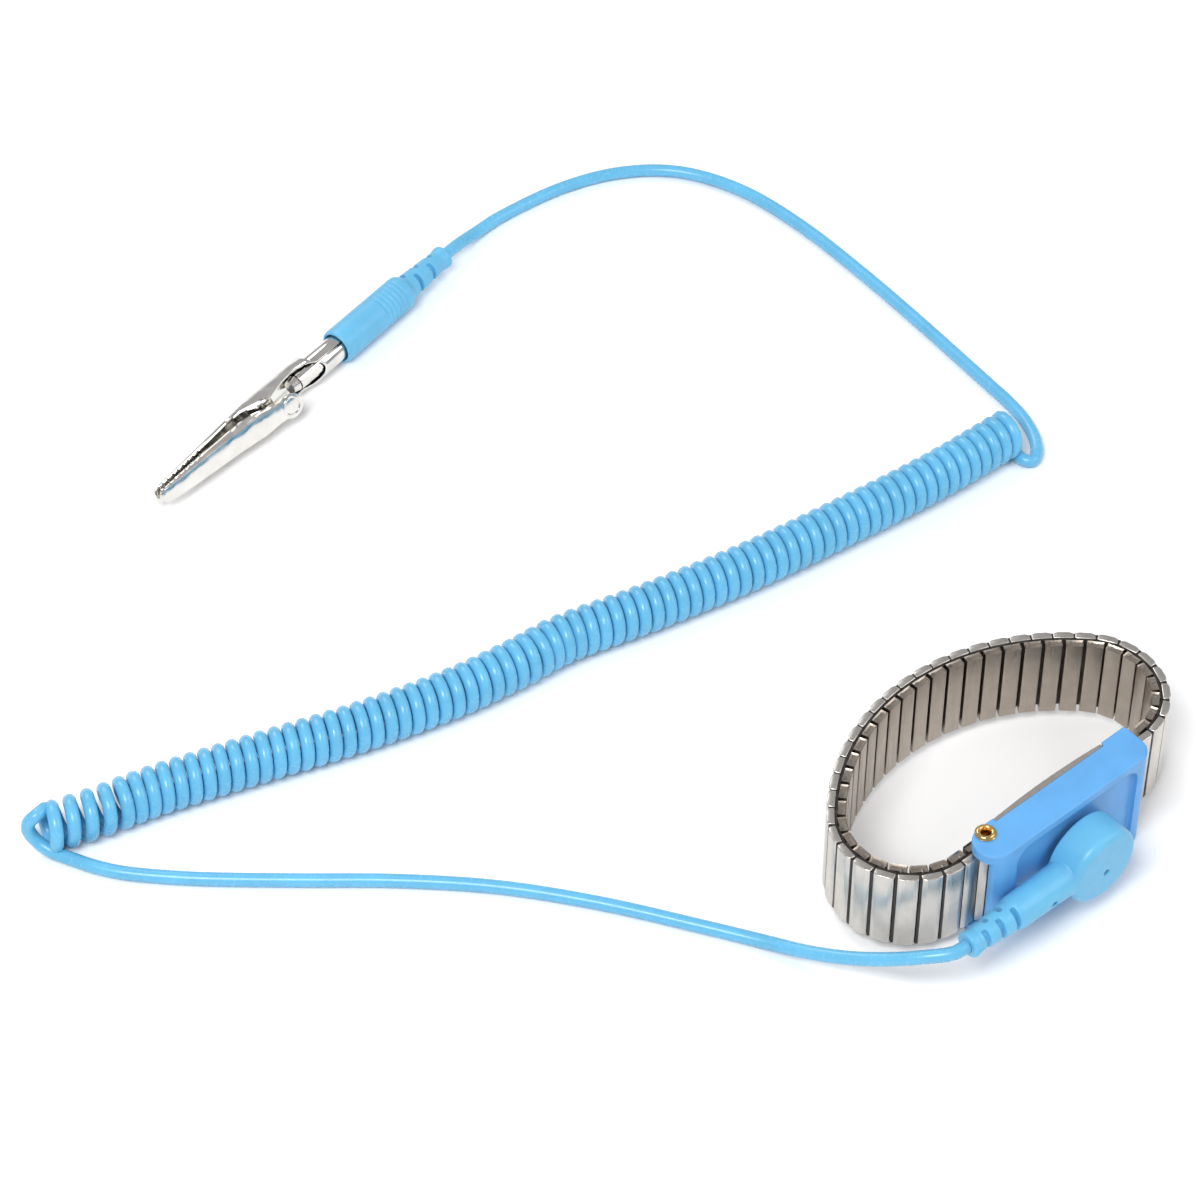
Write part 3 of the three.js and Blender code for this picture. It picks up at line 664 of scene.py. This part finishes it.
def grooved_relief(name, start, end, wide, narrow, grooves):
    """A strain relief along Z: a tapering bar, notched by turns on either side."""
    relief = turned(
        name,
        [
            (0, start),
            (wide, start),
            (narrow, end - 1.9),
            (narrow + 0.15, end - 1.5),
            (narrow + 0.25, end - 0.4),
            (narrow + 0.1, end),
            (0, end),
        ],
    )
    floor, width, lip = 1.35, 0.95, 0.4
    pitch = (end - start - 2.4) / grooves
    for i in range(grooves):
        side = 1 if i % 2 else -1
        low = start + 0.5 + i * pitch
        high = low + width
        cutter = turned("groove", [(floor, low), (5, low), (5, high), (floor, high)], closed=True)
        uncut = sorted((0, -side * 6))
        keep = block(
            "keep", (-6, uncut[0] + side * lip, low - 1), (6, uncut[1] + side * lip, low + 2)
        )
        combine("DIFFERENCE", cutter, keep)
        combine("DIFFERENCE", relief, cutter)
    return relief


class STRAP_OT_cap(bpy.types.Operator):
    """Moulds the snap cap with its arm and strain relief"""

    bl_idname = "strap.cap"
    bl_label = "Snap cap"

    def execute(self, context):
        front = -CAP_LOW.y
        back = -CAP_HIGH.y
        edge = arc((CAP_RADIUS - CAP_EDGE, front - CAP_EDGE), CAP_EDGE, 0, 90, 8)
        foot = [(0, back), (CAP_RADIUS - 0.2, back), (CAP_RADIUS, back + 0.2)]
        disc = turned("disc", [*foot, *edge, (0, front + 0.1)], 96)
        combine("DIFFERENCE", disc, bar("pocket", POCKET_RADIUS, back - 2, POCKET_FRONT))
        moved(disc, Matrix.Translation((SNAP_X, 0, MID_HEIGHT)) @ ALONG_MINUS_Y)
        arm = turned(
            "arm",
            [(0, 4.6), (3.45, 4.6), (3.3, 8), (3.2, 17.6), (3.0, 18.6), (0, 18.6)],
        )
        combine("DIFFERENCE", arm, bar("bore", 1.6, 3, 15.6, 32))
        relief = grooved_relief("relief", 18.2, -CAP_LOW.x, 2.95, 2.25, 5)
        to_arm = Matrix.Translation((0, ARM_Y, MID_HEIGHT)) @ ALONG_MINUS_X
        moved(arm, to_arm)
        moved(relief, to_arm)
        for target, x, z in ((disc, 1.3, MID_HEIGHT - 1.2), (arm, -11.0, MID_HEIGHT - 0.3)):
            hole = bar("pinhole", PINHOLE_RADIUS, PINHOLE_BOTTOM, PINHOLE_BOTTOM + 3, 24)
            moved(hole, Matrix.Translation((x, 0, z)) @ ALONG_MINUS_Y)
            combine("DIFFERENCE", target, hole)
        cap = joined("snap_cap_moulding", disc, arm, relief)
        moulded(cap, 0.17, 5)
        plastic = finish_named("cap_plastic")
        finish_piece(cap, "snap_cap_moulding", "cord_set", "cord_plastic", ["snap_cap"], plastic)
        for node, finish in (("snap_socket", "nickel"), ("safety_resistor", "resistor_lacquer")):
            paint_node(node, finish)
        return {"FINISHED"}


class STRAP_OT_sleeve(bpy.types.Operator):
    """Moulds the plug's sleeve, with its finger ribs and strain relief"""

    bl_idname = "strap.sleeve"
    bl_label = "Plug sleeve"

    def execute(self, context):
        radius, groove_radius = 3.6, 3.38
        first_rib, rib_pitch, rib_count = -19.2, 1.15, 6
        ribs = []
        for i in range(rib_count):
            start = first_rib + i * rib_pitch
            ribs += [(radius, start), (radius, start + 0.6)]
            ribs += [(groove_radius, start + 0.78), (groove_radius, start + 0.98)]
        outline = [
            (0, -21.6),
            (2.6, -21.6),
            (3.25, -20.7),
            (3.55, -20.2),
            *ribs,
            (radius, -12.2),
            (radius + 0.02, -0.8),
            (3.5, -0.25),
            (3.25, 0),
            (2.95, 0),
            (2.95, -6),
            (1.7, -6),
            (1.7, -12.3),
            (0, -12.3),
        ]
        body = turned("sleeve", outline, 80)
        moved(body, ALONG_X)
        relief = grooved_relief("tail", 20.9, 33.5, 2.75, 2.15, 5)
        moved(relief, ALONG_MINUS_X)
        sleeve = joined("plug_sleeve_moulding", body, relief)
        moulded(sleeve, 0.16, 4)
        moved(sleeve, PLUG_FRAME)
        plastic = finish_named("cap_plastic")
        finish_piece(
            sleeve, "plug_sleeve_moulding", "cord_set", "cord_plastic", ["plug_sleeve"], plastic
        )
        paint_node("banana_plug", "nickel")
        paint_node("plug_lantern_spring", "nickel")
        return {"FINISHED"}


class STRAP_OT_housing(bpy.types.Operator):
    """Moulds the housing: a shell open at both ends, with a recessed front panel"""

    bl_idname = "strap.housing"
    bl_label = "Housing"

    def execute(self, context):
        low, high = HOUSING_LOW, HOUSING_HIGH
        ear = (high.y - low.y) / 2
        ear_at = (low.x + ear, HOUSING_MID.y)
        corner_at = (high.x - HOUSING_CORNER, low.y + HOUSING_CORNER)
        plan = [
            *arc(corner_at, HOUSING_CORNER, -90, 0),
            (high.x, high.y),
            *arc(ear_at, ear, 90, 270, 24),
        ]
        shell = raised("shell", plan, 0, high.z)
        front_left = low.x + EAR_LENGTH
        ceiling = high.z - HOUSING_WALL
        cavity = block(
            "cavity",
            (low.x - REACH, low.y + HOUSING_WALL, HOUSING_WALL),
            (high.x + REACH, high.y + REACH, ceiling),
        )
        end_slot = block(
            "slot",
            (low.x - REACH, low.y - REACH, HOUSING_WALL),
            (front_left, high.y + REACH, ceiling),
        )
        x0, x1 = front_left + PANEL_LEFT_RIM, high.x - PANEL_RIGHT_RIM
        z0, z1 = PANEL_RIM, high.z - PANEL_RIM
        r = PANEL_CORNER
        panel_outline = [
            *arc((x1 - r, z0 + r), r, -90, 0, 8),
            *arc((x1 - r, z1 - r), r, 0, 90, 8),
            *arc((x0 + r, z1 - r), r, 90, 180, 8),
            *arc((x0 + r, z0 + r), r, 180, 270, 8),
        ]
        panel = raised("panel", panel_outline, -(low.y + PANEL_RECESS), -(low.y - REACH))
        moved(panel, ALONG_MINUS_Y)
        seat = block(
            "seat",
            (PLATE_LOW.x - 0.3, high.y - 0.9, PLATE_LOW.z - 0.3),
            (PLATE_HIGH.x + 0.3, high.y + REACH, PLATE_HIGH.z + 0.3),
        )
        stud_hole = bar("stud_hole", 1.8, 0, 30, 32)
        moved(stud_hole, Matrix.Translation((SNAP_X, 0, MID_HEIGHT)) @ ALONG_MINUS_Y)
        eyelet = ((EYELET_LOW + EYELET_HIGH) / 2).to_2d().to_3d()
        hole = turned("hole", [(0, -5), (2.0, -5), (2.0, 1.2), (1.3, 1.2), (1.3, 30), (0, 30)], 32)
        moved(hole, Matrix.Translation(eyelet))
        combine("DIFFERENCE", shell, cavity, end_slot, panel, seat, stud_hole, hole)
        moulded(shell, 0.2, 3)
        plastic = finish_named("housing_plastic")
        finish_piece(
            shell, "housing_moulding", "wristband", "housing_plastic", ["housing"], plastic
        )
        paint_node("back_plate", "outer_steel")
        return {"FINISHED"}


# ---- metal pieces -------------------------------------------------------------------------


class STRAP_OT_pins(bpy.types.Operator):
    """Turns the brass eyelet and finishes the hidden pin and the snap's pieces"""

    bl_idname = "strap.pins"
    bl_label = "Pins and snap"

    def execute(self, context):
        foot, top = EYELET_LOW.z, EYELET_HIGH.z
        seat = HOUSING_HIGH.z + 0.08
        profile = [
            (0.72, foot + 0.1),
            (0.9, foot),
            (1.7, foot),
            (1.9, foot + 0.15),
            (1.85, foot + 0.4),
            (1.0, foot + 0.5),
            (1.0, seat),
            (1.85, seat),
            (1.92, seat + 0.1),
            *arc((1.32, top - 0.42), 0.42, 20, 160, 8),
            (0.86, top - 0.5),
            (0.74, top - 0.75),
            (0.72, top - 1.3),
        ]
        eyelet = turned("eyelet", profile, 72, closed=True)
        centre = (EYELET_LOW + EYELET_HIGH) / 2
        moved(eyelet, Matrix.Translation((centre.x, centre.y, 0)))
        select_only(eyelet)
        bpy.ops.object.shade_smooth_by_angle(angle=math.radians(40))
        brass = finish_named("brass")
        finish_piece(eyelet, "brass_eyelet", "wristband", "brass", ["brass_eyelet_pin"], brass)
        for node, finish in (
            ("steel_end_pin", "spring_steel"),
            ("snap_stud", "nickel"),
            ("stud_rivet", "nickel"),
            ("snap_spring", "spring_steel"),
        ):
            paint_node(node, finish)
        return {"FINISHED"}


# The flattened oval that the outside of the band follows.
BAND_THICKNESS = 3.5
BAND_HALF_WIDTH = 36.2
BAND_BACK_RADIUS = 44
BAND_SIDE_RADIUS = 14.3
BAND_BACK_Y = 25.1


def hollow_ends(shell):
    """Sinks the two end faces inside a thin rim."""
    select_only(shell)
    bpy.ops.object.mode_set(mode="EDIT")
    bpy.ops.mesh.select_mode(type="FACE")
    bpy.ops.mesh.select_all(action="DESELECT")
    bpy.ops.object.mode_set(mode="OBJECT")
    for face in shell.data.polygons:
        face.select = abs(face.normal.z) > 0.9
    bpy.ops.object.mode_set(mode="EDIT")
    bpy.ops.mesh.inset(thickness=0.24, depth=-0.3)
    bpy.ops.object.mode_set(mode="OBJECT")


def band_shell(name, width, inner, outer, crown, finish, low, high):
    """One shell of the band: a crowned box with folded-in ends."""
    half = width / 2
    if outer > 0:
        flat = half * 0.55
        top = [(half, outer - crown), (flat, outer), (-flat, outer), (-half, outer - crown)]
        outline = [(-half, inner), (half, inner), *top]
    else:
        cut = 0.12
        foot = [(-half, outer + cut), (-half + cut, outer), (half - cut, outer), (half, outer + cut)]
        outline = [*foot, (half, inner), (-half, inner)]
    shell = raised(name, outline, low, high)
    if outer < 0:
        hollow_ends(shell)
    rounded(shell, 0.2 if outer > 0 else 0.1, 3, 20)
    shell.data.materials.append(finish_named(finish))
    return shell


def band_frames():
    """A function that gives the band's place and heading at a run from its middle."""
    half_thickness = BAND_THICKNESS / 2
    back_radius = BAND_BACK_RADIUS - half_thickness
    side_radius = BAND_SIDE_RADIUS - half_thickness
    side_x = BAND_HALF_WIDTH - BAND_SIDE_RADIUS
    back_y = BAND_BACK_Y - BAND_BACK_RADIUS
    turn = math.asin(side_x / (back_radius - side_radius))
    side_y = back_y + (back_radius - side_radius) * math.cos(turn)
    back_run, side_run = back_radius * turn, side_radius * (math.pi - turn)

    def place(run):
        side = -1 if run < 0 else 1
        distance = abs(run)
        on_back = distance <= back_run
        past_back = min(distance - back_run, side_run)
        angle = distance / back_radius if on_back else turn + past_back / side_radius
        radius = back_radius if on_back else side_radius
        x = (0 if on_back else side * side_x) + side * radius * math.sin(angle)
        x -= side * max(distance - back_run - side_run, 0)
        y = (back_y if on_back else side_y) + radius * math.cos(angle)
        return Matrix.Translation((x, y, 0)) @ Matrix.Rotation(-side * angle, 4, "Z")

    return place


PIN_X, PIN_Y = 16.4, -11.6
FIRST_RUN, LAST_RUN, LINKS = -67.75, 62.55, 34
PITCH = (LAST_RUN - FIRST_RUN) / LINKS
HALF_HEIGHT = 8.7
BAND_LOW, BAND_HIGH = MID_HEIGHT - HALF_HEIGHT, MID_HEIGHT + HALF_HEIGHT


def one_outer(gap):
    width = PITCH - gap
    return band_shell("outer", width, 0.25, 1.75, 0.32, "outer_steel", BAND_LOW, BAND_HIGH)


def one_inner():
    low, high = BAND_LOW + 0.05, BAND_HIGH - 0.05
    return band_shell("inner", 3.06, -0.25, -1.75, 0.1, "inner_steel", low, high)


def one_leaf():
    """The leaf spring between the two layers, plated near black as painted shade, its edge filling the
    gaps between the outer shells.
    """
    low, high = BAND_LOW + 0.12, BAND_HIGH - 0.12
    flat = block("leaf", (-PITCH / 2 + 0.03, -0.17, low), (PITCH / 2 - 0.03, 0.17, high))
    # This edge fills the joint between neighbouring outer shells: a dark sheet standing in for the shade
    # in the gap.
    edge = block("edge", (PITCH / 2 - 0.42, 0.1, low), (PITCH / 2 + 0.36, 1.35, high))
    leaf = joined("leaf", flat, edge)
    leaf.data.materials.append(finish_named("leaf_steel"))
    return leaf


def placed_copy(pattern, matrix):
    """A copy of a pattern piece with its own mesh, put where it belongs."""
    part = pattern.copy()
    part.data = pattern.data.copy()
    bpy.context.collection.objects.link(part)
    return moved(part, matrix)


def pin_loop(side, bore):
    """The rolled loop of an end bracket, round its pin."""
    outside, low, high = bore + 0.45, BAND_LOW + 0.4, BAND_HIGH - 0.4
    section = [(bore, low), (outside, low), (outside, high), (bore, high)]
    loop = turned("loop", section, 32, closed=True)
    moved(loop, Matrix.Translation((side * PIN_X, PIN_Y, 0)))
    loop.data.materials.append(finish_named("outer_steel"))
    return rounded(loop, 0.08, 2)


def folded_sheet(name, path, thickness, low, high):
    """Sheet steel bent along a path seen from above, standing between two heights."""
    half = thickness / 2
    spots = [Vector(point) for point in path]
    sides = ([], [])
    for i, spot in enumerate(spots):
        before, after = spots[max(i - 1, 0)], spots[min(i + 1, len(spots) - 1)]
        normal = (after - before).normalized().orthogonal() * half
        sides[0].append(tuple(spot + normal))
        sides[1].append(tuple(spot - normal))
    sheet = raised(name, sides[0] + sides[1][::-1], low, high)
    sheet.data.materials.append(finish_named("outer_steel"))
    return rounded(sheet, 0.07, 2)


def one_staple():
    """Two bent tabs, near the top and the bottom, that hold the layers together."""
    tabs = []
    for z in (BAND_LOW + 1.0, BAND_HIGH - 1.0):
        tab = block("tab", (-0.3, -1.0, z - 0.75), (0.3, 1.0, z + 0.75))
        tabs.append(rounded(tab, 0.08, 2))
    staple = joined("staple", *tabs)
    staple.data.materials.append(finish_named("staple_steel"))
    return staple


# The end brackets' bent sheets, seen from above.
LEFT_FOLD = [
    (-19.0, -13.2),
    (-18.2, -14.35),
    (-17.2, -14.55),
    (-15.3, -13.9),
    (-15.0, -13.0),
    (-15.3, -12.1),
]
RIGHT_ARM = [(21.4, -11.9), (19.2, -12.05), (18.0, -12.3), (17.2, -12.4)]


class STRAP_OT_band(bpy.types.Operator):
    """Builds one link of the band and copies it round the wrist"""

    bl_idname = "strap.band"
    bl_label = "Expansion band"

    def execute(self, context):
        place = band_frames()
        outer, inner = one_outer(sizes().shell_gap), one_inner()
        leaf, staple = one_leaf(), one_staple()
        for index in range(LINKS):
            start = FIRST_RUN + index * PITCH
            end = start + PITCH
            parts = []
            for pattern, run in (
                (outer, (start + end) / 2),
                (leaf, (start + end) / 2 + 0.02),
                (inner, end),
                (staple, end - 0.75),
            ):
                parts.append(placed_copy(pattern, place(run)))
            number = f"{index + 1:02d}"
            link = joined(f"link_{number}", *parts)
            node = f"band_link_{number}"
            finish_piece(link, f"link_{number}", node, "polished_steel", [node])
        shell_run = FIRST_RUN - PITCH / 2
        left = joined(
            "left_end",
            placed_copy(outer, place(shell_run)),
            placed_copy(leaf, place(shell_run)),
            placed_copy(inner, place(FIRST_RUN)),
            placed_copy(staple, place(FIRST_RUN - 0.75)),
            folded_sheet(
                "fold",
                LEFT_FOLD,
                0.4,
                BAND_LOW + 0.6,
                BAND_HIGH - 0.2,
            ),
            pin_loop(-1, 1.3),
        )
        left_nodes, right_nodes = ["end_bracket_left"], ["end_bracket_right"]
        finish_piece(left, "left_end_bracket", "left_bracket", "polished_steel", left_nodes)
        right = joined(
            "right_end",
            placed_copy(outer, place(LAST_RUN + PITCH / 2)),
            folded_sheet(
                "arm",
                RIGHT_ARM,
                0.5,
                BAND_LOW + 1.5,
                BAND_HIGH - 1.5,
            ),
            pin_loop(1, 1.1),
        )
        finish_piece(right, "right_end_bracket", "right_bracket", "polished_steel", right_nodes)
        for pattern in (outer, inner, leaf, staple):
            bpy.data.objects.remove(pattern)
        return {"FINISHED"}


# ---- alligator clip -----------------------------------------------------------------------

# In the clip's own axes: U along it, V to the jaw that opens, W across its width.
JAW_HALF_WIDTH, NOSE_HALF_WIDTH = 3.05, 1.6
CLIP_TIP = 52
SHEET = 0.45


def plan_cut(item, outline):
    """Trims a solid to a plan drawn in U and W."""
    tool = moved(raised("plan", outline, -8, 8), ALONG_MINUS_Y)
    return combine("INTERSECT", item, tool)


def wedge(start, inset):
    """The plan of the fixed jaw, narrowing to the nose."""
    sides = [(start, 2.66 - inset), (11, 2.7 - inset), (17, 2.95 - inset), (22, JAW_HALF_WIDTH - inset)]
    sides += [(28, 2.78 - inset), (CLIP_TIP - inset, NOSE_HALF_WIDTH - inset)]
    return [(u, -w) for u, w in sides] + [(u, w) for u, w in reversed(sides)]


def cut_teeth(item, start, end, line, depth, up):
    """Saw teeth across the jaw, along the line where the jaws meet."""
    side = 1 if up else -1
    count = 9
    pitch = (end - start) / count
    for i in range(count):
        u = start + i * pitch
        v = line(u)
        notch = raised(
            "notch",
            [(u, v + side * 0.3), (u + pitch * 0.5, v - side * depth), (u + pitch, v + side * 0.3)],
            -5,
            5,
        )
        combine("DIFFERENCE", item, notch)
    return item


def fixed_jaw():
    """A rolled barrel that opens into a channel with a saw-toothed nose."""
    barrel = turned("barrel", [(2.4, -5.5), (2.65, -5.5), (2.65, 9.2), (2.4, 9.2)], 64, closed=True)
    moved(barrel, ALONG_X)
    slit = block("slit", (-10, 1.6, -0.22), (12, 4, 0.22))
    moved(slit, Matrix.Rotation(math.radians(38), 4, "X"))
    mouth = raised("mouth", [(4.6, 3.2), (6.2, 2.2), (8.2, 1.15), (9.6, 0.6), (9.6, 4), (4.6, 4)], -4, 4)
    combine("DIFFERENCE", barrel, slit, mouth)
    outer = raised(
        "outer",
        [
            (7.8, -2.63),
            (14, -2.5),
            (24, -2.2),
            (38, -1.85),
            (50.6, -1.4),
            (CLIP_TIP, -1.15),
            (CLIP_TIP, -0.72),
            (38, -0.72),
            (36, -0.7),
            (31, -0.9),
            (27.2, -0.5),
            (25.2, 0.5),
            (23.9, 1.7),
            (22.6, 2.15),
            (20.4, 2.15),
            (18.6, 1.6),
            (15.8, 0.6),
            (13, 0.1),
            (11, 0.15),
            (9.0, 0.75),
            (7.8, 1.2),
        ],
        -6,
        6,
    )
    plan_cut(outer, wedge(7.8, 0))
    bed = [(7, -2.15), (14, -2.05), (24, -1.75), (38, -1.4), (49.8, -1.1)]
    inner = raised("inner", [*bed, (49.8, 5), (7, 5)], -6, 6)
    plan_cut(inner, wedge(7, SHEET))
    combine("DIFFERENCE", outer, inner)
    cut_teeth(outer, 38.4, 51.4, lambda u: -0.72, 0.36, True)
    rounded(outer, 0.1, 2)
    bore = bar("bore", 2.4, -6, 9.6)
    combine("DIFFERENCE", outer, moved(bore, ALONG_X))
    tab = block("tab", (28.6, -1.0, 2.3), (30.6, -0.6, 3.35))
    rounded(tab, 0.12, 2)
    return joined("clip_fixed", rounded(barrel, 0.07, 2), outer, tab)


def plate_top(u):
    """Height of the moving jaw's back at a station along the clip."""
    stations = ((16, 5.72), (21.5, 4.7), (24, 4.25), (32, 3.05), (45, 1.85), (50, 1.15), (53, 0.3))
    for (u0, v0), (u1, v1) in zip(stations, stations[1:]):
        if u <= u1:
            return v0 + (v1 - v0) * (u - u0) / (u1 - u0)
    return stations[-1][1]


def moving_jaw():
    """A long plate with a thumb disc at its tail and folded, toothed walls under its nose."""
    steps = [16 + i * 0.75 for i in range(50)]
    band = [(u, plate_top(u)) for u in steps] + [(u, plate_top(u) - SHEET) for u in reversed(steps)]
    plate = raised("plate", band, -6, 6)
    nose_turn = arc((50.4, 0), 1.5, -80, 80, 12)
    disc_turn = arc((18.9, 0), 2.55, 50, 310, 32)
    plan_cut(plate, [(22.4, -1.95), (25.5, -2.35), *nose_turn, (25.5, 2.35), (22.4, 1.95), *disc_turn])
    rounded(plate, 0.12, 3)
    walls_top = [(u, plate_top(u) - 0.2) for u in steps if 26 <= u <= 50.8]
    walls_foot = [(50.8, -0.35), (38, -0.5), (35, 0.15), (29, 0.45), (26, 0.6)]
    walls = raised("walls", walls_top + walls_foot, -6, 6)
    plan_cut(walls, [(26, -2.1), (50.8, -1.2), (50.8, 1.2), (26, 2.1)])
    hollow = raised("hollow", [(20, -3), (49.8, -3), (49.8, 0.7), (45, 1.2), (32, 2.4), (20, 4.2)], -6, 6)
    plan_cut(hollow, [(20, -1.85), (49.8, -0.85), (49.8, 0.85), (20, 1.85)])
    combine("DIFFERENCE", walls, hollow)
    cut_teeth(walls, 38.4, 50.6, lambda u: -0.45, 0.34, False)
    ear_outline = [(26.2, 1.0), (26.2, 3.7), (21.8, 4.3), (20.2, 1.4), (20.6, 0), (22.4, -0.2)]
    ears = raised("ears", ear_outline, -2.0, 2.0)
    gap = block("gap", (15, -3, -1.55), (30, 6, 1.55))
    pivot = bar("pivot", 0.75, -6, 6, 32)
    combine("DIFFERENCE", ears, gap, moved(pivot, Matrix.Translation(PIVOT)))
    ring_section = [(1.55, -0.1), (1.65, 0.12), (1.85, 0.17), (2.05, 0.12), (2.15, -0.1)]
    ring = turned("ring", ring_section, closed=True)
    lean = math.atan2(plate_top(16) - plate_top(21.5), 5.5)
    seat = Matrix.Translation((18.9, plate_top(18.9), 0)) @ Matrix.Rotation(-lean, 4, "Z")
    moved(ring, seat @ Matrix.Rotation(math.radians(-90), 4, "X"))
    rounded(walls, 0.07, 2)
    rounded(ears, 0.07, 2)
    rounded(ring, 0.05, 2)
    return joined("clip_moving", plate, walls, ears, ring)


def coiled_spring():
    """The torsion spring round the rivet, with one leg reaching forward along the clip."""
    points = [(27.4, -1.3, -1.1)]
    turns, steps = 4.6, 20
    for i in range(round(turns * steps) + 1):
        angle = -2 * math.pi * i / steps - math.radians(100)
        rise = -1.1 + 2.2 * i / (turns * steps)
        points.append((PIVOT.x + 1.2 * math.cos(angle), PIVOT.y + 1.2 * math.sin(angle), rise))
    data = bpy.data.curves.new("spring", "CURVE")
    data.dimensions = "3D"
    data.bevel_depth = 0.2
    data.bevel_resolution = 3
    data.use_fill_caps = True
    spline = data.splines.new("POLY")
    spline.points.add(len(points) - 1)
    for point, place in zip(spline.points, points):
        point.co = (*place, 1)
    spring = bpy.data.objects.new("spring", data)
    bpy.context.collection.objects.link(spring)
    select_only(spring)
    bpy.ops.object.convert(target="MESH")
    spring = bpy.context.view_layer.objects.active
    bpy.ops.object.shade_smooth()
    return spring


class STRAP_OT_clip(bpy.types.Operator):
    """Bends the two jaws and the spring of the alligator clip"""

    bl_idname = "strap.clip"
    bl_label = "Alligator clip"

    def execute(self, context):
        for item, name, body, slot, node, finish in (
            (fixed_jaw(), "clip_fixed_sheet", "clip", "nickel_plate", "clip_fixed_jaw", "nickel"),
            (moving_jaw(), "clip_moving_plate", "moving_jaw", "nickel_plate", "clip_moving_jaw", "nickel"),
            (coiled_spring(), "clip_coil_spring", "clip", "spring_steel", "clip_spring", "spring_steel"),
        ):
            moved(item, CLIP_FRAME)
            finish_piece(item, name, body, slot, [node], finish_named(finish))
        paint_node("clip_rivet", "nickel")
        return {"FINISHED"}


# ---- stage --------------------------------------------------------------------------------

CAMERA_PLACE = Vector((-0.3714, -0.3218, 0.5818))
CAMERA_AIM = Vector((-0.0165, 0.0886, 0))
CAMERA_LENS = 128.2


def soft_light(name, place, aim, size, watts):
    data = bpy.data.lights.new(name, "AREA")
    data.shape = "SQUARE"
    data.size = size
    data.energy = watts
    lamp = bpy.data.objects.new(name, data)
    lamp.location = place
    lamp.rotation_euler = (Vector(aim) - Vector(place)).to_track_quat("-Z", "Y").to_euler()
    bpy.context.collection.objects.link(lamp)


def pale_floor():
    bpy.ops.mesh.primitive_plane_add(size=6, location=(0, 0, 0))
    floor = bpy.context.active_object
    floor.name = "floor"
    material, nodes, links, shader = new_material("pale_floor", (0.97, 0.97, 0.97), 0.7, 0)
    floor.data.materials.append(material)
    floor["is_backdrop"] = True


class STRAP_OT_stage(bpy.types.Operator):
    """Sets the floor, the lights and the camera"""

    bl_idname = "strap.stage"
    bl_label = "Stage"

    def execute(self, context):
        scene = bpy.context.scene
        pale_floor()
        world = bpy.data.worlds.new("studio")
        world.use_nodes = True
        world.node_tree.nodes["Background"].inputs["Color"].default_value = (0.80, 0.80, 0.82, 1)
        world.node_tree.nodes["Background"].inputs["Strength"].default_value = 0.56
        scene.world = world
        soft_light("key", (-0.5, -0.15, 0.8), (-0.02, 0.08, 0), 0.4, 6.4)
        soft_light("fill", (0.5, -0.5, 0.6), (0, 0.08, 0), 0.6, 2.6)
        soft_light("back", (0.1, 0.9, 0.7), (0, 0.08, 0), 0.5, 3)
        scene.view_settings.view_transform = "Standard"
        data = bpy.data.cameras.new("camera")
        data.sensor_width = 36
        data.lens = CAMERA_LENS
        data.clip_start = 0.01
        camera = bpy.data.objects.new("camera", data)
        camera.location = CAMERA_PLACE
        camera.rotation_euler = (CAMERA_AIM - CAMERA_PLACE).to_track_quat("-Z", "Y").to_euler()
        bpy.context.collection.objects.link(camera)
        scene.camera = camera
        return {"FINISHED"}


class STRAP_PT_panel(bpy.types.Panel):
    """Lists the strap's pieces in the sidebar"""

    bl_idname = "STRAP_PT_panel"
    bl_label = "Wrist strap"
    bl_space_type = "VIEW_3D"
    bl_region_type = "UI"
    bl_category = "Wrist strap"

    def draw(self, context):
        layout = self.layout
        for group in (context.scene.strap_sizes, context.scene.strap_colours):
            for name in group.bl_rna.properties.keys():
                if name not in ("rna_type", "name"):
                    layout.prop(group, name)
        for step in STEPS:
            layout.operator(step.bl_idname)


STEPS = (
    STRAP_OT_stage,
    STRAP_OT_sleeve,
    STRAP_OT_cord,
    STRAP_OT_cap,
    STRAP_OT_housing,
    STRAP_OT_pins,
    STRAP_OT_band,
    STRAP_OT_clip,
)
CLASSES = (StrapSizes, StrapColours, *STEPS, STRAP_PT_panel)


def register():
    for item in CLASSES:
        bpy.utils.register_class(item)
    bpy.types.Scene.strap_sizes = PointerProperty(type=StrapSizes)
    bpy.types.Scene.strap_colours = PointerProperty(type=StrapColours)


def unregister():
    del bpy.types.Scene.strap_colours
    del bpy.types.Scene.strap_sizes
    for item in reversed(CLASSES):
        bpy.utils.unregister_class(item)


def main():
    """Builds every piece in order."""
    register()
    for step in STEPS:
        group, name = step.bl_idname.split(".")
        result = getattr(getattr(bpy.ops, group), name)()
        if "FINISHED" not in result:
            raise RuntimeError(step.bl_label + " could not be made")
    plain = lambda corners: [[float(value) for value in corner] for corner in corners]
    {"cad": plain(CAD_BOX), "visual": plain(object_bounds())}


if __name__ == "__main__":
    main()
